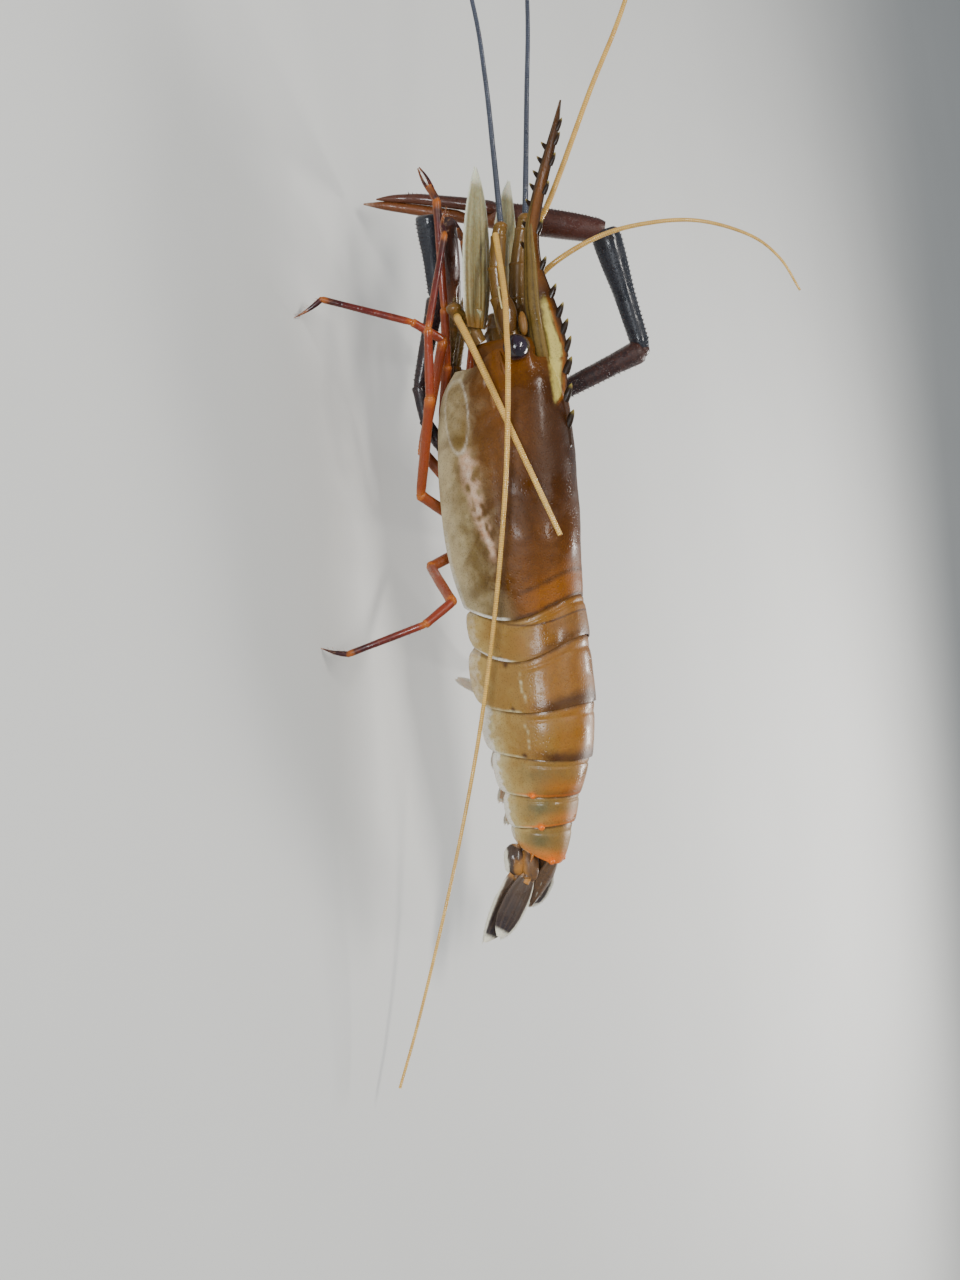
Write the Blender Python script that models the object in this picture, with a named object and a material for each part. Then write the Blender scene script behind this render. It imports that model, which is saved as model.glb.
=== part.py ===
"""Giant river prawn, life size, standing on its walking legs with the claws raised.

The prawn faces -X, its right side is +Y and the floor is the plane z = 0.
Every size below is in millimetres, and mm() turns it into Blender's metres.
The trunk is lofted through sections in upright planes. Legs and feelers follow
the lists of joints or route points named for them.
"""

import math

import bmesh
import bpy
from mathutils import Matrix, Vector

# Driving sizes
GAP = 0.3               # clearance between touching pieces
PLATE_GAP = 0.38        # clearance along x of the tail plates, whose slanting edges narrow it
CARAPACE_FRONT = 7.0    # x of the flat face that carries the head
BELLY = 27.0            # height of the breast plate that the legs hang from
FEELER_REACH = 178.0    # how far the feelers run ahead of and behind the origin
LEFT, RIGHT = -1.0, 1.0
SIDES = {"left": LEFT, "right": RIGHT}

# Colours, as linear red, green and blue, with roughness
COLOURS = {
    "shell": ((0.24, 0.13, 0.055), 0.32),
    "tail_shell": ((0.40, 0.22, 0.075), 0.32),
    "leg": ((0.55, 0.16, 0.06), 0.35),
    "claw": ((0.10, 0.045, 0.035), 0.4),
    "eye": ((0.012, 0.009, 0.014), 0.12),
    "scale": ((0.34, 0.29, 0.13), 0.3),
    "feeler_blue": ((0.045, 0.05, 0.085), 0.4),
    "feeler_tan": ((0.52, 0.38, 0.17), 0.45),
    "fan": ((0.11, 0.085, 0.075), 0.35),
    "swimmeret": ((0.42, 0.30, 0.20), 0.4),
}

# Trunk stations: x at the ridge, ridge height, height of the widest line, half width,
# hem height, half width at the hem, belly height
CARAPACE = (
    (CARAPACE_FRONT, 53.4, 41.4, 10.0, 30.2, 8.8, 31.7),
    (10.2, 54.2, 40.8, 11.5, 27.9, 9.8, BELLY + 2.6),
    (11.2, 54.4, 40.5, 11.9, 27.3, 10.1, BELLY + 0.4),
    (17.0, 55.0, 39.3, 13.2, 25.3, 11.0, BELLY),
    (26.0, 55.1, 38.0, 14.4, 23.7, 11.6, BELLY),
    (40.0, 54.2, 37.0, 14.9, 22.5, 12.0, BELLY),
    (53.0, 53.2, 36.4, 14.5, 22.3, 11.6, BELLY),
    (60.5, 52.3, 36.1, 13.6, 23.0, 11.0, BELLY),
    (66.9, 51.6, 36.0, 12.5, 24.2, 10.4, BELLY + 1.6),
)
# Where two trunk pieces meet: x at the ridge, how far the edge bows back over the flank,
# and how far it leans forward by the hem. The last edge slants from x = 134.4 at the ridge.
EDGES = (
    (66.9, 4.7, -0.5),
    (77.1, 4.8, -0.4),
    (94.2, 1.9, -3.0),
    (109.0, 0.5, -6.0),
    (118.4, 0.3, -4.5),
    (124.6, 0.3, -1.5),
    (146.1, 0.0, -20.5),
)
EDGE_TOP, EDGE_LOW = 52.0, 24.0     # heights between which the edges bow and lean
# Tail rings: ridge front and rear, half width front and rear, hem of the side flap,
# half width there, belly
RINGS = (
    (51.2, 51.3, 11.8, 12.2, 24.2, 10.3, 31.0),
    (51.0, 50.6, 11.9, 12.2, 23.4, 10.9, 31.0),
    (50.2, 47.6, 11.6, 11.2, 24.3, 10.2, 30.6),
    (46.6, 43.0, 10.5, 9.2, 25.2, 8.9, 30.4),
    (42.5, 40.4, 8.7, 8.0, 26.0, 7.2, 30.0),
    (39.7, 35.6, 7.4, 5.8, 26.2, 5.4, 27.2),
)
FLAP = 1.2              # thickness of the shell where it hangs free at the sides

# Ridge and rostrum stations: x, lower edge, upper edge, half thickness
CREST = (
    (CARAPACE_FRONT, 50.9, 57.7, 2.0),
    (10.0, 50.9, 57.1, 1.8),
    (15.0, 50.9, 56.2, 1.6),
    (22.0, 51.0, 55.7, 1.3),
    (30.0, 51.0, 55.1, 0.9),
)
ROSTRUM = (
    (CARAPACE_FRONT - GAP, 50.9, 57.7, 2.0),
    (2.0, 50.9, 57.6, 1.9),
    (-3.0, 49.4, 57.0, 1.8),
    (-9.0, 49.0, 55.7, 1.7),
    (-17.0, 49.4, 54.1, 1.5),
    (-26.0, 51.0, 54.8, 1.4),
    (-33.0, 53.6, 57.2, 1.2),
    (-41.0, 57.4, 60.6, 1.0),
    (-48.5, 61.3, 63.5, 0.8),
    (-55.5, 64.9, 65.4, 0.4),
)
CREST_TEETH_X = (23.5, 17.0, 10.3)
DORSAL_TEETH_X = (5.0, 0.6, -3.7, -8.8, -16.2, -25.6, -34.9, -41.5, -46.3, -49.6)
VENTRAL_TEETH_X = (-22.0, -27.0, -32.0, -35.7, -38.6, -41.8, -45.0)


def mm(*values):
    """A point given in millimetres, in metres."""
    return Vector(values) * 0.001


def material(name):
    """The painted finish of one kind of piece."""
    made = bpy.data.materials.get(name)
    if made is None:
        colour, roughness = COLOURS[name]
        made = bpy.data.materials.new(name)
        made.use_nodes = True
        surface = made.node_tree.nodes["Principled BSDF"]
        surface.inputs["Base Color"].default_value = (*colour, 1.0)
        surface.inputs["Roughness"].default_value = roughness
        surface.inputs["Metallic"].default_value = 0.0
    return made


def clear_scene():
    for obj in list(bpy.data.objects):
        bpy.data.objects.remove(obj, do_unlink=True)


def finish(name, mesh, finish_name):
    """Makes the named object of a mesh, smooth over its curves and crisp at its edges."""
    mesh.name = name
    mesh.materials.clear()
    mesh.materials.append(material(finish_name))
    mesh.shade_smooth()
    mesh.set_sharp_from_angle(angle=math.radians(40))
    obj = bpy.data.objects.new(name, mesh)
    PRAWN.objects.link(obj)
    return obj


def loft_mesh(rings):
    """A closed skin through rings of as many points each, in millimetres."""
    shape = bmesh.new()
    loops = [[shape.verts.new(mm(*point)) for point in ring] for ring in rings]
    count = len(loops[0])
    for near, far in zip(loops, loops[1:]):
        for i in range(count):
            j = (i + 1) % count
            shape.faces.new((near[i], near[j], far[j], far[i]))
    shape.faces.new(loops[0][::-1])
    shape.faces.new(loops[-1])
    bmesh.ops.recalc_face_normals(shape, faces=shape.faces)
    bmesh.ops.triangulate(shape, faces=shape.faces, ngon_method="EAR_CLIP")
    mesh = bpy.data.meshes.new("loft")
    shape.to_mesh(mesh)
    shape.free()
    return mesh


def largest_surface(mesh):
    """Drops every loose scrap of a mesh, and keeps the closed surface with the most faces."""
    shape = bmesh.new()
    shape.from_mesh(mesh)
    unseen = set(shape.faces)
    groups = []
    while unseen:
        group, edge = set(), {unseen.pop()}
        while edge:
            face = edge.pop()
            group.add(face)
            near = {other for side in face.edges for other in side.link_faces}
            edge |= near & unseen
            unseen -= near
        groups.append(group)
    keep = max(groups, key=len)
    loose = [face for face in shape.faces if face not in keep]
    bmesh.ops.delete(shape, geom=loose, context="FACES")
    shape.to_mesh(mesh)
    shape.free()


def combine(base_mesh, piece_meshes, operation="UNION"):
    """One mesh: the base joined with, or cut by, the pieces."""
    base = bpy.data.objects.new("base", base_mesh)
    tools = bpy.data.collections.new("tools")
    bpy.context.scene.collection.objects.link(base)
    bpy.context.scene.collection.children.link(tools)
    pieces = [bpy.data.objects.new("piece", mesh) for mesh in piece_meshes]
    for piece in pieces:
        tools.objects.link(piece)
    boolean = base.modifiers.new("combine", "BOOLEAN")
    boolean.operation = operation
    boolean.operand_type = "COLLECTION"
    boolean.collection = tools
    boolean.solver = "EXACT"
    bpy.context.view_layer.update()
    graph = bpy.context.evaluated_depsgraph_get()
    made = bpy.data.meshes.new_from_object(base.evaluated_get(graph))
    for obj in [base, *pieces]:
        bpy.data.objects.remove(obj, do_unlink=True)
    bpy.data.collections.remove(tools)
    largest_surface(made)
    return made


def spine_mesh(foot, tip, radius, sides=4):
    """A tapering spine from a sunk foot to a blunt tip."""
    foot, tip = Vector(foot), Vector(tip)
    shape = bmesh.new()
    bmesh.ops.create_cone(
        shape, cap_ends=True, segments=sides, radius1=radius * 0.001,
        radius2=0.00006, depth=(tip - foot).length * 0.001,
    )
    turn = (tip - foot).to_track_quat("Z", "Y").to_matrix().to_4x4()
    shape.transform(Matrix.Translation(mm(*(foot + tip) / 2)) @ turn)
    mesh = bpy.data.meshes.new("spine")
    shape.to_mesh(mesh)
    shape.free()
    return mesh


def between(stations, x):
    """The station at x, mixed from the two on either side of it."""
    for near, far in zip(stations, stations[1:]):
        if min(near[0], far[0]) <= x <= max(near[0], far[0]):
            share = (x - near[0]) / (far[0] - near[0])
            return tuple(a + (b - a) * share for a, b in zip(near, far))
    return stations[0]


# Trunk sections

def edge_shift(height, bow, lean):
    """How far back the edge of a shell plate stands at a height."""
    share = min(max((EDGE_TOP - height) / (EDGE_TOP - EDGE_LOW), 0.0), 1.0)
    return bow * math.sin(math.pi * share) + lean * share


def shell_ring(x, ridge, waist, half_width, hem, hem_width, belly, bow=0.0, lean=0.0):
    """A section of the trunk: a round back, flanks that turn in to a free hem, a flat belly."""
    back_steps, flank_steps = 6, 4
    half = []
    for i in range(back_steps):
        angle = math.pi / 2 * (1 - i / back_steps)
        y = half_width * abs(math.cos(angle)) ** 0.92
        half.append((y, waist + (ridge - waist) * math.sin(angle)))
    for i in range(flank_steps + 1):
        share = i / flank_steps
        y = half_width - (half_width - hem_width) * share ** 2.2
        half.append((y, waist - (waist - hem) * share))
    half.append((hem_width - FLAP, hem))
    half.append((hem_width - FLAP - 0.3, max(belly, hem + 0.4)))
    half.append((0.0, max(belly, hem + 0.4)))
    right = [(x + edge_shift(z, bow, lean), y, z) for y, z in half]
    left = [(px, -y, z) for px, y, z in reversed(right[1:-1])]
    return right + left


def shell_mesh(rings):
    """A closed trunk piece. Its ends are ruled from flank to flank, so that bowed ends match."""
    shape = bmesh.new()
    loops = [[shape.verts.new(mm(*point)) for point in ring] for ring in rings]
    count = len(loops[0])
    for near, far in zip(loops, loops[1:]):
        for i in range(count):
            j = (i + 1) % count
            shape.faces.new((near[i], near[j], far[j], far[i]))
    bottom = count // 2
    for loop in (loops[0], loops[-1]):
        floor = loop[bottom].co.z + 0.00005
        high = [i for i in range(bottom - 2) if loop[i].co.z > floor]
        middle = [loop[0]] + [shape.verts.new((loop[i].co.x, 0.0, loop[i].co.z)) for i in high[1:]]
        last = high[-1]
        for sign in (1, -1):
            side = [loop[sign * i % count] for i in range(bottom + 1)]
            shape.faces.new((side[0], side[1], middle[1]))
            for i in high[1:-1]:
                shape.faces.new((side[i], side[i + 1], middle[i + 1], middle[i]))
            shape.faces.new([*side[last:], middle[last]])
    bmesh.ops.recalc_face_normals(shape, faces=shape.faces)
    bmesh.ops.triangulate(shape, faces=shape.faces, ngon_method="EAR_CLIP")
    mesh = bpy.data.meshes.new("shell")
    shape.to_mesh(mesh)
    shape.free()
    return mesh


def make_carapace():
    _, bow, lean = EDGES[0]
    bent = {len(CARAPACE) - 1: 1.0, len(CARAPACE) - 2: 0.55, len(CARAPACE) - 3: 0.15}
    rings = [
        shell_ring(*station, bow * bent.get(i, 0.0), lean * bent.get(i, 0.0))
        for i, station in enumerate(CARAPACE)
    ]
    teeth = [tooth(CREST, x, 2, 2.6, 1.25) for x in CREST_TEETH_X]
    crest = loft_mesh([blade_ring(*station) for station in CREST])
    # The antennal and hepatic spines, on either side of the front margin
    for side in SIDES.values():
        teeth.append(spine_mesh((10.0, side * 10.2, 44.6), (4.4, side * 11.0, 44.0), 0.9))
        teeth.append(spine_mesh((18.0, side * 12.4, 41.2), (13.0, side * 14.3, 41.4), 0.9))
    mesh = combine(shell_mesh(rings), [crest, *teeth])
    finish("carapace", mesh, "shell")


def make_tail_rings():
    """Each ring is tucked in at its front, swells over its middle and hangs a side flap."""
    profile = ((0.0, 0.5, 0.80), (0.1, 0.7, 0.92), (0.32, 0.95, 1.0), (0.58, 1.0, 1.0),
               (0.82, 0.95, 0.93), (1.0, 0.75, 0.62))
    last = len(RINGS)
    plates = zip(EDGES, EDGES[1:], RINGS)
    for number, (front, rear, plate) in enumerate(plates, 1):
        top0, top1, wide0, wide1, hem, hem_width, belly = plate
        x0, x1 = front[0] + PLATE_GAP, rear[0]
        rings = []
        for share, swell, drop in profile:
            ridge = top0 + (top1 - top0) * share + 0.8 * swell
            half_width = wide0 + (wide1 - wide0) * share + 0.6 * swell
            waist = belly + (ridge - belly) * 0.30
            flap = belly - (belly - hem) * drop
            inset = hem_width * half_width / (max(wide0, wide1) + 0.6)
            bow = front[1] + (rear[1] - front[1]) * share
            lean = front[2] + (rear[2] - front[2]) * share
            x = x0 + (x1 - x0) * share
            rings.append(shell_ring(x, ridge, waist, half_width, flap, inset, belly, bow, lean))
        mesh = shell_mesh(rings)
        if number == last:
            # The sixth ring ends in a small spine over each side of the tail fan
            points = [
                spine_mesh((129.4, side * 4.9, 31.8), (133.0, side * 7.0, 31.0), 0.7)
                for side in SIDES.values()
            ]
            mesh = combine(mesh, points)
        finish(f"abdomen_{number}", mesh, "tail_shell")


# Rostrum

def blade_ring(x, low, high, half):
    """A section of the rostrum: a keel that is thickest along its mid line."""
    middle = (low + high) / 2
    edge = min(0.3, half)
    flank = ((edge, high), (half * 0.62, high - (high - low) * 0.22), (half, middle),
             (half * 0.55, low + (high - low) * 0.2), (edge, low))
    return [(x, y, z) for y, z in flank] + [(x, -y, z) for y, z in reversed(flank)]


def tooth(stations, x, edge, length, radius):
    """A tooth on the upper (edge 2) or lower (edge 1) rim, leaning towards the tip."""
    up = 1.0 if edge == 2 else -1.0
    rim = between(stations, x)[edge]
    foot = (x + 0.9, 0.0, rim - up * 0.9)
    return spine_mesh(foot, (x - length, 0.0, rim + up * length * 0.62), radius)


def make_rostrum():
    teeth = [
        tooth(ROSTRUM, x, 2, 2.5 - 0.02 * abs(x), 1.1 - 0.007 * abs(x)) for x in DORSAL_TEETH_X
    ]
    teeth += [tooth(ROSTRUM, x, 1, 1.7, 0.75) for x in VENTRAL_TEETH_X]
    blade = loft_mesh([blade_ring(*station) for station in ROSTRUM])
    finish("rostrum", combine(blade, teeth), "shell")


# Limbs: one closed skin along a chain of joints

def frame_along(direction, hint):
    """Two unit vectors across a direction; the first leans to the hint."""
    first = hint - direction * hint.dot(direction)
    if first.length < 1e-6:
        first = direction.orthogonal()
    first.normalize()
    return first, direction.cross(first).normalized()


def round_ring(centre, direction, radius, sides, hint=Vector((0, 0, 1)), flat=1.0):
    """A ring of points round a centre, flattened across the hint when flat is below 1."""
    first, second = frame_along(direction, hint)
    return [
        tuple(centre + first * (radius * math.cos(a)) + second * (radius * flat * math.sin(a)))
        for a in (math.tau * i / sides for i in range(sides))
    ]


def limb_rings(joints, radii, sides=8, root=None, foot=None):
    """Rings along straight segments, pinched at each joint. Root and foot are end normals."""
    joints = [Vector(joint) for joint in joints]
    ways = [(b - a).normalized() for a, b in zip(joints, joints[1:])]
    hint = ways[0].orthogonal()
    rings = []
    last = len(ways) - 1
    for i, way in enumerate(ways):
        start, end = joints[i], joints[i + 1]
        length = (end - start).length
        near, far = radii[i], radii[i + 1]
        hint, _ = frame_along(way, hint)
        back = 0.0 if i == 0 else near * (0.35 + 1.05 * math.tan(ways[i - 1].angle(way) / 2))
        ahead = 0.0 if i == last else far * (0.35 + 1.05 * math.tan(way.angle(ways[i + 1]) / 2))
        back, ahead = min(back, length * 0.42), min(ahead, length * 0.42)
        if i == 0:
            facing = root or way
            rings.append(round_ring(start, facing, near, sides, hint))
        else:
            rings.append(round_ring(start + way * back, way, near * 0.86, sides, hint))
        inner = length - back - ahead
        if inner > 3.0:
            rings.append(round_ring(start + way * (back + inner * 0.2), way, near, sides, hint))
            rings.append(round_ring(end - way * (ahead + inner * 0.1), way, far * 0.96, sides, hint))
        if i == last:
            facing = foot or way
            rings.append(round_ring(end, facing, far, sides, hint))
        else:
            rings.append(round_ring(end - way * ahead, way, far * 1.08, sides, hint))
    return rings


DOWN = Vector((0, 0, -1))
ROOT_Z = BELLY - GAP
# Walking legs: the joints from the breast plate to the foot, and a radius at each
LEG_RADII = (1.8, 1.5, 1.35, 1.25, 1.0, 0.75, 0.5)
WALKING_LEGS = {
    "leg3_left": ((34, -5.2, ROOT_Z), (33, -6.2, 22.2), (25, -9.6, 18.2), (-0.6, -14.2, 30.6),
                  (-5.6, -19.4, 25.4), (-14.0, -30.6, 6.8), (-10.4, -33.6, 0.0)),
    "leg3_right": ((34, 5.2, ROOT_Z), (34, 6.8, 22.2), (32, 14.0, 18.2), (13.0, 31.0, 29.0),
                   (5.0, 35.0, 25.6), (-2.0, 39.5, 7.2), (0.4, 41.5, 0.0)),
    "leg4_right": ((43, 5.4, ROOT_Z), (43.4, 6.8, 22.0), (44, 14.0, 18.0), (45.0, 35.0, 30.0),
                   (46.0, 43.0, 25.6), (46.6, 49.0, 6.8), (44.4, 50.0, 0.0)),
    "leg5_left": ((52, -5.4, ROOT_Z), (52.4, -6.8, 22.0), (55, -13.6, 18.0), (65.0, -29.0, 30.0),
                  (69.5, -35.4, 25.2), (74.0, -41.6, 6.6), (71.6, -43.2, 0.0)),
    "leg5_right": ((52, 5.4, ROOT_Z), (52.6, 6.8, 22.0), (56, 13.6, 18.0), (70.0, 30.0, 30.4),
                   (76.5, 36.0, 26.0), (84.0, 42.5, 6.8), (81.6, 44.5, 0.0)),
}
# The left fourth leg is lifted and swung forward beside the head
RAISED_LEG = ((43, -5.4, ROOT_Z), (42.2, -6.8, 22.0), (36.6, -14.0, 18.2), (14.4, -24.0, 29.4),
              (-1.6, -27.0, 32.9), (-24.6, -21.6, 38.4), (-31.4, -19.6, 39.2))
# The first legs are slim and end in small nippers
NIPPER_RADII = (1.5, 1.35, 1.2, 1.1, 1.0, 0.95)
NIPPER_LEGS = {
    "leg1_left": ((18, -4.8, ROOT_Z), (17.4, -5.4, 23.4), (4.9, -7.8, 27.6), (-8.8, -10.6, 30.5),
                  (-36.2, -11.0, 32.7), (-45.2, -11.0, 29.0)),
    "leg1_right": ((18, 4.8, ROOT_Z), (17.4, 5.4, 23.4), (5.6, 7.8, 26.6), (-8.0, 9.8, 29.4),
                   (-29.5, 9.0, 29.8), (-37.0, 8.5, 26.4)),
}
JAW_RADII = (1.5, 1.45, 1.4, 1.2, 0.5)
JAW_LEG = ((13.5, 2.3, ROOT_Z), (12.6, 2.2, 23.9), (4.0, 2.3, 25.4), (-5.0, 2.4, 28.4),
           (-13.5, 2.2, 30.2))


def make_walking_legs():
    for name, joints in WALKING_LEGS.items():
        mesh = loft_mesh(limb_rings(joints, LEG_RADII, root=DOWN, foot=DOWN))
        finish(name, mesh, "leg")
    tip_radii = (*LEG_RADII[:-1], 0.25)
    finish("leg4_left", loft_mesh(limb_rings(RAISED_LEG, tip_radii, root=DOWN)), "leg")


def make_nipper_legs():
    """The hand of each first leg is two thin fingers that close on each other."""
    for name, joints in NIPPER_LEGS.items():
        wrist, tip = Vector(joints[-2]), Vector(joints[-1])
        way = (tip - wrist).normalized()
        palm_end = wrist + way * ((tip - wrist).length * 0.42)
        arm = loft_mesh(limb_rings((*joints[:-1], palm_end), NIPPER_RADII, root=DOWN))
        across, _ = frame_along(way, Vector((0, 0, 1)))
        fingers = []
        for turn in (-1, 1):
            foot = palm_end + across * (0.5 * turn) - way * 1.0
            point = tip + across * (0.35 * turn)
            rings = [round_ring(foot, way, 0.55, 6), round_ring(foot.lerp(point, 0.6), way, 0.42, 6),
                     round_ring(point, way, 0.15, 6)]
            fingers.append(loft_mesh(rings))
        finish(name, combine(arm, fingers), "leg")


def make_jaw_legs():
    for word, side in SIDES.items():
        joints = [(x, y * side, z) for x, y, z in JAW_LEG]
        rings = limb_rings(joints, JAW_RADII, sides=7, root=DOWN)
        finish(f"maxilliped_{word}", loft_mesh(rings), "scale")


# Claws

# For each claw: joints of the arm, the wrist joint, the hand joint and the tip, its scale,
# and the way that the moving finger opens
CLAWS = {
    "right": {
        "arm": ((25, 4.6, ROOT_Z), (24.6, 6.0, 21.9), (21.0, 14.2, 18.6), (16.5, 22.0, 31.5),
                (3.4, 40.0, 63.8)),
        "hand": (-28.6, 33.0, 60.4), "tip": (-46.9, 6.0, 4.2), "size": 1.0,
        "opens": (-1.0, -0.35, 0.4),
    },
    "left": {
        "arm": ((25, -4.6, ROOT_Z), (23.6, -5.4, 21.4), (17.0, -5.7, 18.4), (8.5, -5.5, 17.8),
                (-13.6, -3.5, 25.4)),
        "hand": (-34.2, -8.2, 28.2), "tip": (-4.5, 22.5, 17.5), "size": 0.78,
        "opens": (-0.6, 0.8, 0.0),
        # This hand is folded back against the side of its wrist, with its root this far from the joint
        "folded": (1.0, 2.7, 4.2),
    },
}
ARM_RADII = (2.0, 1.9, 1.9, 2.2, 3.0)
PALM_SHARE = 0.46       # how much of the hand is palm


def spine_row(start, end, normal, base, radius, count, length=1.15):
    """Small spines in a line along one edge of a claw segment, all leaning forward."""
    start, end = Vector(start), Vector(end)
    way = (end - start).normalized()
    first, _ = frame_along(way, normal)
    row = []
    for i in range(count):
        share = (i + 0.5) / count
        skin = start.lerp(end, share) + first * (base + (radius - base) * share)
        row.append(spine_mesh(skin - first * 0.7, skin + first * length + way * 0.7, 0.5))
    return row


def mitre(before, joint, after):
    """The plane in which two segments meet: its normal points along the limb."""
    return ((joint - before).normalized() + (after - joint).normalized()).normalized()


def segment_rings(start, end, face0, face1, radii, sides=10, flat=0.85, hint=Vector((0, 0, 1))):
    """One claw segment, with its end faces in the planes shared with its neighbours."""
    way = (end - start).normalized()
    rings = []
    for share, radius in radii:
        centre = start.lerp(end, share)
        facing = face0 if share == 0 else face1 if share == 1 else way
        ring = round_ring(centre, way, radius, sides, hint, flat)
        rings.append([
            tuple(Vector(p) - way * ((Vector(p) - centre).dot(facing) / way.dot(facing)))
            for p in ring
        ])
    return rings


def make_claw(word, claw):
    arm = [Vector(joint) for joint in claw["arm"]]
    hand, tip = Vector(claw["hand"]), Vector(claw["tip"])
    elbow, size = arm[-1], claw["size"]
    opens = Vector(claw["opens"])
    half_gap = GAP / 2

    # The arm: its last segment is cut square in the plane shared with the wrist
    bend = mitre(arm[-2], elbow, hand)
    way = (elbow - arm[-2]).normalized()
    arm_radii = [radius * (size if i > 1 else 1.0) for i, radius in enumerate(ARM_RADII)]
    rings = limb_rings((*arm[:-1], elbow), arm_radii, sides=9, root=DOWN)
    end_centre = elbow - bend * half_gap
    rings[-1] = [
        tuple(Vector(p) + way * ((end_centre - Vector(p)).dot(bend) / way.dot(bend)))
        for p in round_ring(elbow, way, 2.5 * size, 9, frame_along(way, Vector((0, 0, 1)))[0])
    ]
    rings[-1] = align(rings[-2], rings[-1])
    outward = (way - (hand - elbow).normalized()).normalized()
    spines = spine_row(arm[-2], elbow, outward, arm_radii[3], arm_radii[4], 7)
    spines = spines[1:-1]
    finish(f"claw_arm_{word}", combine(loft_mesh(rings), spines), "claw")

    # The wrist, slim where it leaves the arm and wide at the hand
    folded = claw.get("folded")
    turn = (hand - elbow).normalized() if folded else mitre(elbow, hand, tip)
    start, end = elbow + bend * half_gap, hand - turn * half_gap
    wrist_radii = ((0.0, 2.3), (0.12, 2.6), (0.45, 2.9), (0.8, 3.8), (0.94, 3.9), (1.0, 3.1))
    radii = [(share, radius * size) for share, radius in wrist_radii]
    mesh = loft_mesh(segment_rings(start, end, bend, turn, radii))
    edge = -Vector(folded) if folded else outward
    spines = spine_row(start, end, edge, 2.7 * size, 3.9 * size, 8)[1:-1]
    finish(f"claw_wrist_{word}", combine(mesh, spines), "claw")

    # The hand: a palm that runs on as the fixed finger, and the moving finger beside it
    start = hand - turn * (2.0 * size) + Vector(folded) if folded else hand + turn * half_gap
    way = (tip - start).normalized()
    length = (tip - start).length
    across, thick = frame_along(way, opens)
    palm = hand_rings(start, way, across, thick, length, size, way if folded else turn)
    spines = spine_row(start, start + way * (length * PALM_SHARE), across, 3.6 * size, 3.6 * size, 6)
    mesh = combine(loft_mesh(palm), spines[1:-1])
    if folded:
        grown = [(share, radius + GAP + 0.09) for share, radius in radii]
        wrist = segment_rings(elbow, hand + turn * (GAP / 2 + 0.05), bend, turn, grown)
        mesh = combine(mesh, [loft_mesh(wrist)], "DIFFERENCE")
    finish(f"claw_palm_{word}", mesh, "claw")
    finger = finger_rings(start, way, across, thick, length, size)
    finish(f"claw_finger_{word}", loft_mesh(finger), "claw")


def align(previous, ring):
    """Turns the order of a ring's points to start at the one nearest the previous ring's first."""
    def cost(shift):
        turned = ring[shift:] + ring[:shift]
        return sum((Vector(a) - Vector(b)).length for a, b in zip(previous, turned))
    best = min(range(len(ring)), key=cost)
    return ring[best:] + ring[:best]


def oval(centre, across, thick, half_across, half_thick, sides=10):
    return [
        tuple(centre + across * (half_across * math.cos(a)) + thick * (half_thick * math.sin(a)))
        for a in (math.tau * i / sides for i in range(sides))
    ]


def hand_rings(start, way, across, thick, length, size, face):
    """Sections of the palm and of the fixed finger, which keeps to the lower half."""
    sections = (
        (0.0, 0.0, 2.9, 2.5), (0.06, 0.0, 3.3, 2.8), (0.22, 0.0, 3.8, 3.0),
        (0.38, 0.0, 3.8, 2.9), (PALM_SHARE, 0.0, 3.6, 2.6), (PALM_SHARE + 0.012, -1.95, 1.6, 2.2),
        (0.62, -1.8, 1.5, 1.8), (0.80, -1.7, 1.3, 1.4), (0.93, -1.9, 0.9, 0.9), (1.0, -2.2, 0.3, 0.3),
    )
    rings = []
    for share, offset, half_across, half_thick in sections:
        centre = start + way * (length * share) + across * (offset * size)
        ring = oval(centre, across, thick, half_across * size, half_thick * size)
        if share == 0.0:
            ring = [
                tuple(Vector(p) - way * ((Vector(p) - centre).dot(face) / way.dot(face)))
                for p in ring
            ]
        rings.append(ring)
    return rings


def finger_rings(start, way, across, thick, length, size):
    """Sections of the moving finger, which lies along the fixed one and stops short of its tip."""
    sections = (
        (PALM_SHARE + 0.006, 1.75, 1.5, 2.1), (0.52, 1.95, 1.55, 2.1), (0.66, 1.8, 1.35, 1.7),
        (0.80, 1.2, 1.1, 1.2), (0.88, 0.5, 0.8, 0.8), (0.94, -0.3, 0.28, 0.3),
    )
    rings = []
    for share, offset, half_across, half_thick in sections:
        centre = start + way * (length * share) + across * (offset * size)
        rings.append(oval(centre, across, thick, half_across * size, half_thick * size))
    root = GAP + length * 0.006
    rings[0] = [tuple(Vector(p) + way * root) for p in rings[0]]
    return rings


# Head

HEAD_FACE = 1.0         # x of the flat face that carries the feelers
EYE_RADIUS = 3.2
EYE = (4.7, 12.5, 49.1)
FEELER_ROOT = HEAD_FACE - GAP


def head_ring(x, half_width, middle, half_height, sides=18):
    """A section of the head: a square with well rounded corners."""
    ring = []
    for i in range(sides):
        angle = math.tau * i / sides
        c, s = math.cos(angle), math.sin(angle)
        y = half_width * math.copysign(abs(c) ** 0.8, c)
        ring.append((x, y, middle + half_height * math.copysign(abs(s) ** 0.8, s)))
    return ring


def head_mesh(grow=0.0):
    sections = ((CARAPACE_FRONT - GAP, 9.0, 41.8, 8.6), (4.0, 9.1, 41.8, 8.8), (HEAD_FACE, 8.2, 41.2, 8.2))
    rings = [head_ring(x, w + grow, z, h + grow) for x, w, z, h in sections]
    return loft_mesh(rings)


def ball_mesh(centre, radius, segments=14, rings=9):
    shape = bmesh.new()
    bmesh.ops.create_uvsphere(shape, u_segments=segments, v_segments=rings, radius=radius * 0.001)
    shape.transform(Matrix.Translation(mm(*centre)))
    mesh = bpy.data.meshes.new("ball")
    shape.to_mesh(mesh)
    shape.free()
    return mesh


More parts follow.
